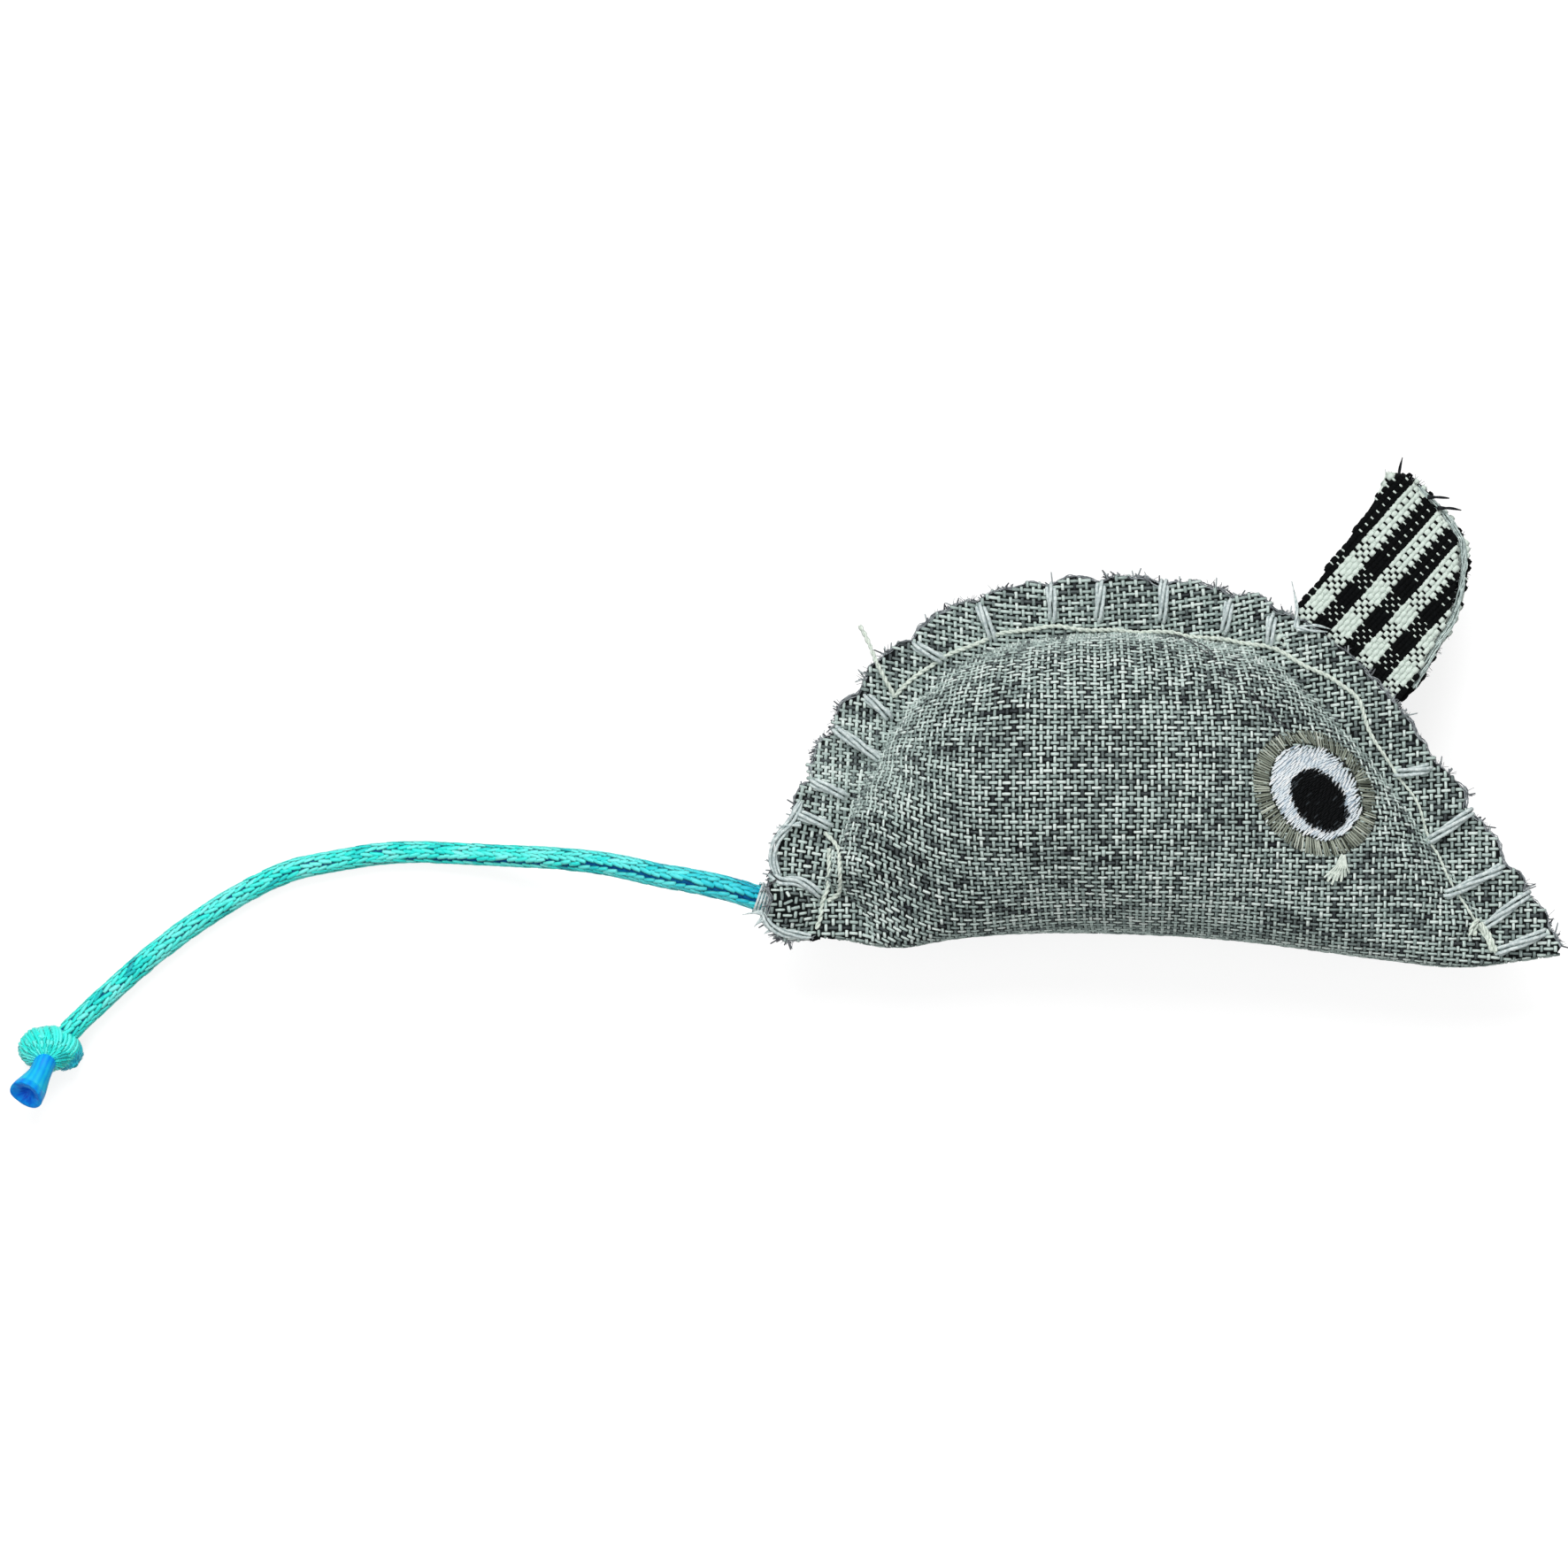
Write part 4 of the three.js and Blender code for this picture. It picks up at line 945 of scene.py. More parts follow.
# the map is relaxed until its edges have nearly the lengths that they have on the cloth
def relax(chart, grid):
    # the corner at the tail stays
    ease = np.clip((np.arange(len(grid)) - flatMap["still"]) / flatMap["easing"], 0, 1)[:, None, None]
    links = [(np.s_[:-1, :], np.s_[1:, :]), (np.s_[:, :-1], np.s_[:, 1:]), (np.s_[:-1, :-1], np.s_[1:, 1:]),
             (np.s_[1:, :-1], np.s_[:-1, 1:])]
    lengths = [np.linalg.norm(grid[b] - grid[a], axis=2) for a, b in links]
    for _ in range(flatMap["rounds"]):
        push, count = np.zeros_like(chart), np.zeros(chart.shape[:2])
        for (a, b), length in zip(links, lengths):
            step = chart[b] - chart[a]
            size = np.maximum(np.linalg.norm(step, axis=2), 1e-9)
            half = step * (0.5 * (size - length) / size)[..., None]
            push[a] += half
            push[b] -= half
            count[a] += 1
            count[b] += 1
        chart = chart + push / count[..., None] * ease
    return chart


# where the map doubles back on itself it is smoothed
def untangle(chart, grid):
    size = np.linalg.norm(np.cross(np.diff(grid, axis=0)[:, :-1], np.diff(grid, axis=1)[:-1]), axis=2)
    for _ in range(flatMap["smoothing"]):
        du, dv = np.diff(chart, axis=0)[:, :-1], np.diff(chart, axis=1)[:-1]
        area = du[..., 0] * dv[..., 1] - du[..., 1] * dv[..., 0]
        poor = np.pad(area < flatMap["poor"] * size, 2)
        near = np.zeros(chart.shape[:2], bool)
        for i in range(4):
            for j in range(4):
                near |= poor[i:i + near.shape[0], j:j + near.shape[1]]
        wide = np.pad(chart, ((1, 1), (1, 1), (0, 0)), mode="reflect", reflect_type="odd")
        mean = (wide[2:, 1:-1] + wide[:-2, 1:-1] + wide[1:-1, 2:] + wide[1:-1, :-2]) / 4
        chart = np.where(near[..., None], mean, chart)
    return chart


chart = untangle(unroll(nearGrid), nearGrid)
chart = untangle(relax(chart, nearGrid), nearGrid)
# low at the rear the weft runs askew
rear = smoothStep(-nearGrid[:, :, 0], *flatMap["rear"]) ** 2
low = 1 - smoothStep(nearGrid[:, :, 1], *flatMap["low"])
chart[:, :, 1] -= rear * flatMap["askew"] * low


# cover: near and far panel share the fold; the ground cloth, painted near black as painted shade in the gaps
# between the threads, lies just under the weave
def bodySheet():
    points = list(nearGrid.reshape(-1, 3))
    far = np.zeros((sections, rows), int)
    for i in range(sections):
        far[i, 0] = i * rows
        far[i, 1:] = len(points) + np.arange(rows - 1)
        points += list(farGrid[i, 1:])
    faces = panelFaces + [(far[i, j], far[i, j + 1], far[i + 1, j + 1], far[i + 1, j])
                          for i in range(sections - 1) for j in range(rows - 1)]
    mesh = meshOf("coverSheet", points, faces)
    spots, normals = pointsAndNormals(mesh)
    mesh.vertices.foreach_set("co", spots + normals * body["ground"] * mm)
    mesh.update()
    moved = pointsAndNormals(mesh)[0].reshape(-1, 3) / mm
    return mesh, moved[:sections * rows].reshape(sections, rows, 3), moved[far]


sheetMesh, nearFace, farFace = bodySheet()
sheetShape = addPiece("coverSheet", sheetMesh)
sheetShape.hide_render = True
bpy.context.view_layer.update()
sheetTree = BVHTree.FromObject(sheetShape, bpy.context.evaluated_depsgraph_get())


# the place on the cloth over or under a point, raised by a lift
def lieOn(side, x, y, lift):
    above = Vector((x * mm, y * mm, (body["seamHeight"] + side * body["rayHeight"]) * mm))
    hit = sheetTree.ray_cast(above, Vector((0, 0, -side)))
    if hit[0] is None or (hit[0].z / mm - body["seamHeight"]) * side < 0:
        return np.array((x, y, body["seamHeight"] + side * (body["offCloth"] + lift)))
    return np.array(hit[0]) / mm + np.array(hit[1]) * lift


def laidLine(side, route, lift, count):
    return smoothLine([lieOn(side, x, y, lift) for x, y in route], count)


bodyCover = addPiece("bodyCover", sheetMesh.copy())
bodyCover.data.materials.append(clothShadeGround)
bodyCover.data.materials.append(clothEdge)
wall = bodyCover.modifiers.new("wall", "SOLIDIFY")
wall.thickness = body["wall"] * mm
wall.offset = -1
wall.material_offset_rim = 1
fix(bodyCover, "cover_cloth", "body_cover")
print("stage: cover")

weave = dict(warpPitch=0.69, weftPitch=0.55, warpFloat=(0.74, 0.42, 0.34), weftFloat=(0.98, 0.39, 0.38),
             waver=0.4, sheet=200, past=0.55, check=0, weftCheck=0, split=0)
chartLow = chart.reshape(-1, 2).min(0) - 1
chartSize = chart.reshape(-1, 2).max(0) + 1 - chartLow
chartColumns, chartRows = int(chartSize[0] / weave["warpPitch"]), int(chartSize[1] / weave["weftPitch"])


def mapped(mesh, flatPoints, low, sheet):
    layer = mesh.uv_layers.new(name="cloth")
    order = np.zeros(len(mesh.loops), np.int32)
    mesh.loops.foreach_get("vertex_index", order)
    layer.data.foreach_set("uv", ((flatPoints - low) / sheet)[order].astype(np.float32).ravel())
    return mesh


# each panel reaches a little past the fold, so that the weave closes over it
foldWay = np.gradient(chart[:, 0], axis=0)
foldOut = np.stack([foldWay[:, 1], -foldWay[:, 0]], 1) / np.linalg.norm(foldWay, axis=1)[:, None]
foldOut *= np.sign(np.median(np.sum(foldOut * (chart[:, 0] - chart[:, 9]), axis=1)))
wideChart = np.concatenate([chart[:, :1] + foldOut[:, None] * weave["past"], chart], axis=1).reshape(-1, 2)
for name, face, side, seed in (("nearWeave", nearFace, 1, 1), ("farWeave", farFace, -1, 2)):
    wideFace = np.concatenate([face[:, :1] - np.array((0, 0, side * weave["past"])), face], axis=1)
    wideFaces = [f[::side] for f in gridFaces(sections, rows + 1)]
    panel = meshOf(name + "Panel", wideFace.reshape(-1, 3), wideFaces)
    panel = mapped(panel, wideChart, chartLow, weave["sheet"])
    made = weaveOn(name, panel, weave, chartColumns, chartRows, seed, clothThread)
    fix(made, "cover_cloth")
    print("stage:", name, len(made.data.polygons))

# overcast yarn: each stitch goes round the raw edge through both layers
yarn = dict(strands=4, strand=0.19, spread=0.36, turns=70, spacing=0.35, fuzz=0.2, lift=0.42, arch=0.12,
            shares=(0.35, 0.6, 0.85), reach=0.35, rim=0.6, rimHeight=0.55, sunk=-0.5, rearLift=0.3)


def stitchLine(edge, hole):
    edge, hole = np.array(edge), np.array(hole)
    out = outAt(fromLine(edge[None], edgeLine)[1])[0]
    rim = edge + out * yarn["reach"] * yarn["rim"]
    halves = []
    for side in (1, -1):
        half = [lieOn(side, *hole, yarn["sunk"])]
        half.append(lieOn(side, *(hole + (edge - hole) * 0.1), yarn["lift"] * 0.8))
        for t in yarn["shares"]:
            arched = yarn["lift"] + yarn["arch"] * math.sin(math.pi * t)
            half.append(lieOn(side, *(hole + (edge - hole) * t), arched))
        height = half[-1][2] * yarn["rimHeight"] + body["seamHeight"] * (1 - yarn["rimHeight"])
        half.append(np.array((*rim, height)))
        halves.append(half)
    turn = np.array((*(edge + out * yarn["reach"]), body["seamHeight"]))
    return smoothLine(halves[0] + [turn] + halves[1][::-1], 60)


rearRuns = [[(-28.8, -1.8), (-29.9, -4), (-31.3, -5.9), (-31.6, -7.7), (-31.1, -9.5)],
            [(-32.7, -13.0), (-32.0, -14.0), (-30.8, -14.7), (-29.3, -15.1), (-27.8, -15.3)]]
yarnLines = [stitchLine(*s) for s in stitches]
yarnThins = [np.ones(len(line)) for line in yarnLines]
for side in (1, -1):
    for route in rearRuns:
        yarnLines.append(laidLine(side, route, yarn["rearLift"], 40))
        yarnThins.append(np.interp(np.linspace(0, 1, 40), [0, 0.1, 0.9, 1], [0.4, 0.85, 0.85, 0.4]))
overcast = spin("overcastYarn", yarnLines, yarn, edgeYarn, yarnThins)
fix(overcast, "edge_yarn", "edge_yarn")
print("stage: overcast yarn", len(overcast.data.polygons))

# loose fibres rolled along the raw edges
roll = dict(strands=5, strand=0.06, spread=0.14, turns=45, spacing=0.3, fuzz=0.8, patch=2.2)
rawEdges = [nearFace[:, -1], farFace[:, -1]]
rollThins = []
for line in rawEdges:
    run = runOf(line)
    patches = np.arange(0, run[-1] + roll["patch"], roll["patch"])
    rollThins.append(np.interp(run, patches, np.clip(noise.normal(0.5, 0.5, len(patches)), 0.12, 1.3)))
fix(spin("rolledEdge", rawEdges, roll, clothEdge, rollThins), "cover_cloth")

# white seam thread, with the ends and loops that were left loose
seam = dict(strands=2, strand=0.14, spread=0.12, turns=700, spacing=0.25, fuzz=0.1, lift=0.24, wave=0.1,
            endLift=0.2, tuftLift=0.45, thinFrom=(27, 32), thin=0.62)
seamRoute = [(-19.4, 8.7), (-16.7, 11.2), (-12.9, 13.3), (-10.2, 14.4), (-7.4, 15.2), (-3.4, 15.6),
             (.7, 15.3), (8, 15), (12.8, 14.4), (18.3, 13.5), (22.2, 11.5), (26.7, 8.8), (28.1, 5.2),
             (30.6, 1.2), (32.8, -1.8), (33.9, -5.1), (35.3, -8.5), (36.7, -11), (38.4, -13.7), (40.6, -17.1)]
rearRoute = [(-26, -6.6), (-26.2, -10.2), (-26.8, -12), (-26.9, -13.7), (-27.3, -14.6)]
rearLoop = [(-26.4, -5, .2), (-25.2, -6.6, .6), (-24.4, -8.9, .7), (-24.8, -10.6, .6), (-26.1, -11.8, .2)]
looseEnd = [(0, 0, 0), (-0.9, 1.6, .6), (-1.9, 3.6, .9), (-2.7, 5.6, .5), (-3.5, 7.1, .3)]
noseTufts = [[(38.6, -13.6), (38.0, -14.3), (37.9, -15.3)], [(38.6, -13.6), (38.3, -14.5), (38.5, -15.5)],
             [(38.7, -14.0), (39.5, -15.2), (40.2, -16.9)], [(38.9, -14.0), (39.8, -15.2), (40.6, -16.9)]]
for name, side, node in (("nearSeamThread", 1, "near_seam_thread"), ("farSeamThread", -1, "far_seam_thread")):
    wavy = [(x, y + seam["wave"] * math.sin(k * 1.3))
            for k, (x, y) in enumerate(evenLine(smoothLine(seamRoute, 200), 70))]
    lines = [laidLine(side, wavy, seam["lift"], 240), laidLine(side, rearRoute, seam["lift"], 60)]
    if side > 0:
        lines.append(smoothLine(lieOn(side, *seamRoute[0], seam["endLift"]) + np.array(looseEnd), 40))
        lines.append(smoothLine([lieOn(side, *p) for p in rearLoop], 50))
        lines += [laidLine(side, route, seam["tuftLift"], 16) for route in noseTufts]
    thins = [np.ones(len(line)) for line in lines]
    thins[0] = np.interp(lines[0][:, 0], seam["thinFrom"], [1.0, seam["thin"]])
    fix(spin(name, lines, seam, whiteThread, thins), "seam_thread", node)
print("stage: seam thread")

# frayed raw edges, and a few long loose ends
fineFray = dict(count=520, shortest=0.3, longest=1.3, thick=0.05, rise=0.6, swing=1.2, tufts=0.55)
coarseFray = dict(count=420, shortest=0.45, longest=1.6, thick=0.17, rise=0.6, swing=1.2, tufts=0.55)
for name, line, edge, seed in (("nearFray", rawEdges[0], fineFray, 11),
                               ("farFray", rawEdges[1], fineFray, 23),
                               ("nearEnds", rawEdges[0], coarseFray, 37),
                               ("farEnds", rawEdges[1], coarseFray, 53)):
    fix(frayOn(name, [line], edge, seed), "cover_cloth")
wisp = dict(strands=2, strand=0.13, spread=0.12, turns=200, spacing=0.3, fuzz=0.2, lift=0.5)
wisps = [[(-28.8, -4.1), (-30.0, -4.2), (-31.3, -4.5)], [(-32.6, -13.0), (-33.6, -13.0), (-34.7, -13.2)],
         [(-32.6, -13.6), (-33.0, -13.9), (-33.5, -14.4)], [(-31.5, -14.6), (-32.0, -14.8), (-32.5, -15.1)],
         [(20.8, 15.4), (22.4, 15.8), (24.2, 15.4)], [(20.9, 15.5), (22.2, 15.3), (23.9, 15.1)],
         [(20.8, 15.6), (20.8, 17.6), (20.3, 20.2)]]
wispLines = [laidLine(1, route, wisp["lift"], 16) for route in wisps]
fix(spin("looseEnds", wispLines, wisp, edgeYarn, [np.linspace(1.2, 0.2, 16)] * len(wisps)), "edge_yarn")
print("stage: frays")

# binding round the root of the tail
binding = dict(strands=1, strand=0.14, spread=0.02, turns=90, spacing=0.3, fuzz=0.12, rounds=4, radius=1.52,
               uneven=0.04, start=-0.7, end=0.65)


def aroundTail(run, angle, radius):
    here, ahead = [np.array([np.interp(r, tailRun, tailLine[:, k]) for k in range(3)])
                   for r in (run, run + 0.5)]
    along = unit(ahead - here)
    side = unit(np.cross(along, (0, 0, 1)))
    return here + (side * math.cos(angle) + np.cross(side, along) * math.sin(angle)) * radius


mouthRun = tailRun[np.argmin(np.linalg.norm(tailLine[:, :2] - mouth, axis=1))]
bindLine = []
for t in np.linspace(0, 1, 110):
    run = mouthRun + np.interp(t, [0, 1], [binding["start"], binding["end"]])
    radius = binding["radius"] + binding["uneven"] * math.sin(9 * t)
    bindLine.append(aroundTail(run, t * binding["rounds"] * math.tau, radius))
fix(spin("tailBinding", [bindLine], binding, edgeYarn), "edge_yarn", "tail_binding")

# dark threads: a loop by the tail, and two that lie along the crease
loop = dict(strands=2, strand=0.06, spread=0.06, turns=400, spacing=0.3, fuzz=0.1, lift=0.35)
loopRoutes = [[(-32.6, -12.8), (-32.7, -11.6), (-32.2, -10.5), (-31.2, -9.7)],
              [(-32.3, -12.6), (-32.3, -11.4), (-31.9, -10.4), (-31.1, -9.8)]]
loopLines = [laidLine(1, route, loop["lift"], 24) for route in loopRoutes]
fix(spin("darkLoop", loopLines, loop, darkThread), None)
strand = dict(strands=1, strand=0.05, spread=0.02, turns=400, spacing=0.3, fuzz=0.2, lift=0.32)
strandRoutes = [[(9.4, 14.2), (12.2, 12.4), (14.6, 9.4), (17.2, 7.4), (20, 5.0)],
                [(8.6, 14.6), (11.8, 13.2), (14.2, 10.4), (16.6, 8.6), (18.6, 5.9)]]
strandLines = [laidLine(1, route, strand["lift"], 60) for route in strandRoutes]
fix(spin("creaseThread", strandLines, strand, darkThread), None)
print("stage: binding")


# ears: two leaves of gingham sewn in between the layers
ear = dict(hinge=(26.178, 13.175), out=(0.6936, 0.7204), warpWay=(0.6626, 0.749), warpPitch=0.46,
           weftPitch=0.43, warpFloat=(0.82, 0.75, 0.3), weftFloat=(0.4, 0.26, 0.37), waver=0.35, sheet=100,
           check=4, weftCheck=5, split=34, mapStart=(-1.15, 21.65), wall=0.3, steps=44, cup=0.8, wave=0.25,
           peek=1.1, root=3.2, weaveLift=0.4, frayFrom=8, frayRow=-4, bendStart=-1.5, bendEnd=3.5)
earLeft = [(20.9, 17.0), (21.2, 17.9), (22.4, 19.3), (24.5, 22.3), (25.7, 23.9), (27.3, 26.1), (28.6, 28.1),
           (29.4, 29.7), (29.9, 30.9)]
earRight = [(31, 8), (33, 9.6), (34.1, 11.6), (35.4, 13.9), (36.9, 16.4), (37.7, 19.2), (38, 21.6),
            (37.9, 23.8), (37.3, 25.2), (36.2, 26.7), (34.7, 28.3), (33.4, 29.6), (32.5, 30.6), (31.3, 30.9),
            (29.9, 31)]
earFray = dict(count=150, shortest=0.2, longest=0.8, thick=0.05, rise=0.4, swing=0.9, tufts=0.5)
warpSide = np.array((ear["warpWay"][1], -ear["warpWay"][0]))
band = ear["check"] * ear["warpPitch"]
checkGround = checkGroundMaterial((*warpSide, 0.0), band * mm, ear["mapStart"][0] * mm)


def earFace(peek):
    n = ear["steps"]
    inward = -np.array(ear["out"]) * ear["root"]
    left = evenLine(np.array([np.array(earLeft[0]) + inward] + earLeft), n + 1)
    right = smoothLine([np.array(earRight[0]) + inward] + earRight, n + 1)
    points = []
    for i in range(n + 1):
        for t in np.linspace(0, 1, n + 1):
            x, y = left[i] + (right[i] - left[i]) * t
            x -= peek * t ** 3 * math.sin(math.pi * min(1, i / n * 0.98)) ** 0.6
            out = max(0, (np.array((x, y)) - ear["hinge"]) @ np.array(ear["out"]))
            bend = ear["cup"] * smoothStep(out, 0, 12) * (1 - (2 * t - 1) ** 2)
            points.append((x, y, bend + ear["wave"] * math.sin(x * 0.7) * smoothStep(out, 2, 10)))
    return np.array(points)


def makeEar(name, height, bulge, peek):
    n = ear["steps"] + 1
    points = earFace(peek)
    points[:, 2] = height + points[:, 2] * bulge
    earMap = np.stack([points[:, :2] @ warpSide, points[:, :2] @ np.array(ear["warpWay"])], 1)
    faces = turnedOver(gridFaces(n, n))
    leaf = addPiece(name, meshOf(name, points, faces))
    leaf.data.materials.append(checkGround)
    wall = leaf.modifiers.new("wall", "SOLIDIFY")
    wall.thickness = ear["wall"] * mm
    wall.offset = 0
    leaf.data = settled(leaf)
    pieces = [leaf]
    size = earMap.max(0) - ear["mapStart"]
    columns, rows = int(size[0] / ear["warpPitch"]) + 1, int(size[1] / ear["weftPitch"]) + 1
    for label, side, seed in (("Top", 1, 5), ("Under", -1, 6)):
        face = points + np.array((0, 0, side * ear["wall"] * ear["weaveLift"]))
        panel = meshOf(name + "Panel", face, [f[::side] for f in faces])
        panel = mapped(panel, earMap, ear["mapStart"], ear["sheet"])
        pieces.append(weaveOn(name + label, panel, ear, columns, rows, seed, checkThread))
    grid = points.reshape(n, n, 3)
    rims = [grid[ear["frayFrom"]:, -1][::-1], grid[ear["frayRow"]]]
    pieces.append(frayOn(name + "Fray", rims, earFray, 31))
    return pieces


spike = dict(strands=2, strand=0.16, spread=0.1, turns=300, spacing=0.3, fuzz=0.0, lift=0.3)
spikes = [[(31.0, 30.0), (31.1, 31.3), (31.4, 32.6)], [(33.9, 28.6), (35.0, 28.6), (36.1, 28.5)],
          [(34.9, 27.5), (36.2, 27.5), (37.3, 27.3)], [(30.2, 30.0), (29.8, 29.6), (29.5, 28.9)]]
hem = dict(strands=8, strand=0.08, spread=0.25, turns=50, spacing=0.3, fuzz=0.6, inset=0.45, height=11.45)
for name, node, height, bulge, peek in (("nearEar", "near_ear", 11.9, 1.0, ear["peek"]),
                                        ("farEar", "far_ear", 11.1, -0.4, 0.0)):
    pieces = makeEar(name, height, bulge, peek)
    if name == "nearEar":
        lines = [smoothLine([(x, y, height + spike["lift"]) for x, y in route], 10) for route in spikes]
        pieces.append(spin("earSpikes", lines, spike, blackFibre, [np.linspace(1, 0.3, 10)] * len(lines)))
    else:
        hemLine = smoothLine([(x - hem["inset"], y, hem["height"]) for x, y in earRight[1:-3]], 60)
        pieces.append(spin("earHem", [hemLine], hem, paleFibre))
    for piece in pieces:
        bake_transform(piece)
    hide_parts(node)
print("stage: ears")

# eyes: embroidered pads with threads laid over them; each pad takes the dark end of its thread colour, as
# painted shade in the gaps between the threads
eye = dict(rim=dict(centre=(22.4, -1.0), axes=(7.0, 5.75), tilt=-0.78, edge=0.985, rise=0.12, width=0.24,
                    gap=0.046, slant=-0.04, tone=0.64),
           white=dict(centre=(22.36, -1.01), axes=(5.38, 4.09), tilt=-0.86, edge=0.93, rise=0.3, width=0.2,
                      length=0.85),
           pupil=dict(centre=(22.73, -1.77), axes=(3.62, 2.48), tilt=-0.86, edge=0.93, rise=0.46, width=0.2,
                      length=0.7),
           way=0.7, gap=0.17, overlap=0.82, stagger=0.37, half=7, reach=0.95, hidden=0.9, tone=0.55,
           threadHeight=0.2, threadLift=0.02, rings=8, spokes=96, slope=0.08, sunk=-0.2, padTone=0.08)


def inEye(point, part):
    c, s = math.cos(part["tilt"]), math.sin(part["tilt"])
    x, y = point - np.array(part["centre"])
    return math.hypot((x * c + y * s) / part["axes"][0], (-x * s + y * c) / part["axes"][1])


def eyeSpot(part, turn, size):
    c, s = math.cos(part["tilt"]), math.sin(part["tilt"])
    x, y = part["axes"][0] * math.cos(turn) * size, part["axes"][1] * math.sin(turn) * size
    return np.array((part["centre"][0] + x * c - y * s, part["centre"][1] + x * s + y * c))


def eyePad(name, side, part, material):
    rings, spokes, edge = eye["rings"], eye["spokes"], part["edge"]

    def ring(level, high):
        return [lieOn(side, *eyeSpot(part, math.tau * a / spokes, level), high) for a in range(spokes)]

    points = []
    for level in np.linspace(0, edge, rings)[1:]:
        points += ring(level, part["rise"] * min(1, (edge - level) / eye["slope"] + 0.25))
    points += ring(edge, eye["sunk"])
    faces = ringFaces(rings, spokes)
    faces += [(len(points), a, (a + 1) % spokes) for a in range(spokes)]
    points.append(lieOn(side, *part["centre"], part["rise"]))
    mesh = meshOf(name, points, [f[::side] for f in faces])
    mesh.materials.append(material)
    # painted shade: the pad gets a dark tone, which shows in the gaps between the threads
    return addPiece(name, carry(mesh, tone=[eye["padTone"]] * len(points)))


# each laid thread is a place, a heading, a length and a tone
def threadPoints(name, laid):
    spots, turns, lengths, tones = zip(*laid)
    mesh = bpy.data.meshes.new(name)
    mesh.from_pydata([(x * mm, y * mm, body["seamHeight"] * mm) for x, y in spots], [], [])
    ways = np.array([(math.cos(turn), math.sin(turn), 0) for turn in turns], np.float32)
    mesh.attributes.new("lay", "FLOAT_VECTOR", "POINT").data.foreach_set("vector", ways.ravel())
    return carry(mesh, long=inMetres(lengths), tone=tones)


def rowsOfThreads(length, isInside, random):
    laid = []
    way = np.array((math.cos(eye["way"]), math.sin(eye["way"])))
    aside = np.array((-way[1], way[0]))
    half = eye["half"]
    for k, off in enumerate(np.arange(-half, half, eye["gap"])):
        for run in np.arange(-half, half, length * eye["overlap"]) + (k * eye["stagger"] % 1) * length:
            spot = np.array(eye["white"]["centre"]) + aside * (off + random.normal(0, 0.03)) + way * run
            if isInside(spot):
                turn = eye["way"] + random.normal(0, 0.05)
                size = length * random.uniform(0.85, 1.15)
                tone = float(np.clip(random.normal(eye["tone"], 0.22), 0, 1))
                laid.append((spot, turn, size, tone))
    return laid


def rimThreads(random):
    rim, white = eye["rim"], eye["white"]
    laid = []
    for turn in np.arange(0, math.tau, rim["gap"]):
        turn += random.normal(0, 0.006)
        out = eyeSpot(rim, turn, 1.0 + random.normal(0, 0.004))
        x, y = out - np.array(white["centre"])
        heading = math.atan2(y, x) - white["tilt"]
        inTurn = math.atan2(math.sin(heading) / white["axes"][1], math.cos(heading) / white["axes"][0])
        inner = eyeSpot(white, inTurn + random.normal(rim["slant"], 0.008), eye["reach"])
        x, y = out - inner
        tone = float(np.clip(rim["tone"] + random.normal(0, 0.13), 0, 1))
        laid.append(((out + inner) / 2, math.atan2(y, x), math.hypot(x, y), tone))
    return laid


def makeEye(label, side, nodes):
    random = np.random.default_rng(41)
    rim, white, pupil = eye["rim"], eye["white"], eye["pupil"]

    def inPupil(point):
        return inEye(point, pupil) < eye["reach"]

    def inWhite(point):
        return inEye(point, white) < eye["reach"] and inEye(point, pupil) > eye["hidden"]

    laid = [rimThreads(random), rowsOfThreads(white["length"], inWhite, random),
            rowsOfThreads(pupil["length"], inPupil, random)]
    plans = [("Rim", rim, taupeSatin, "eye_taupe"), ("White", white, whiteSatin, "eye_white"),
             ("Pupil", pupil, pupilThread, "eye_black")]
    for (name, part, material, slotName), threads, node in zip(plans, laid, nodes):
        fix(eyePad(label + name + "Pad", side, part, material), slotName)
        made = grow(label + name, threadPoints("laid", threads), satinStitches, Cloth=sheetShape,
                    Side=float(side), Lift=(part["rise"] + eye["threadLift"]) * mm, Width=part["width"] * mm,
                    Thickness=eye["threadHeight"] * mm, Thread=threadShape, Material=material)
        fix(made, slotName, node)


makeEye("nearEye", 1, ("near_eye_rim", "near_eye_white", "near_eye_pupil"))
makeEye("farEye", -1, ("far_eye_rim", "far_eye_white", "far_eye_pupil"))
tuft = dict(root=(25.2, -7.2), waist=-8.4, lift=0.35, endLift=0.65)
tuftEnds = [(1.35, 2.0), (1.1, 2.4), (0.8, 2.7), (0.5, 2.4), (0.2, 2.5), (-0.1, 2.0), (-0.35, 1.6)]
tuftLines = []
for a, b in tuftEnds:
    x, y = tuft["root"]
    waist, end = (x - 0.7 * a, tuft["waist"]), (x - 1.5 * a, y - 0.1 - b)
    tuftLines.append(smoothLine([lieOn(1, x, y, tuft["lift"]), lieOn(1, *waist, tuft["endLift"]),
                                 lieOn(1, *end, tuft["endLift"])], 14))
fix(spin("eyeTuft", tuftLines, wisp, whiteThread, [np.linspace(1.1, 0.5, 14)] * len(tuftLines)), "eye_white")
print("stage: eyes")

# knot: a ball whose stitches gather at the hole that the cut end comes out of, and a lobe beside it, painted
# bluer as painted shade since it lies lower
knot = dict(radius=1.0, round=44, step=0.45, stitch=(1.2, 0.25, 0.075), lean=0.12, reach=0.985)
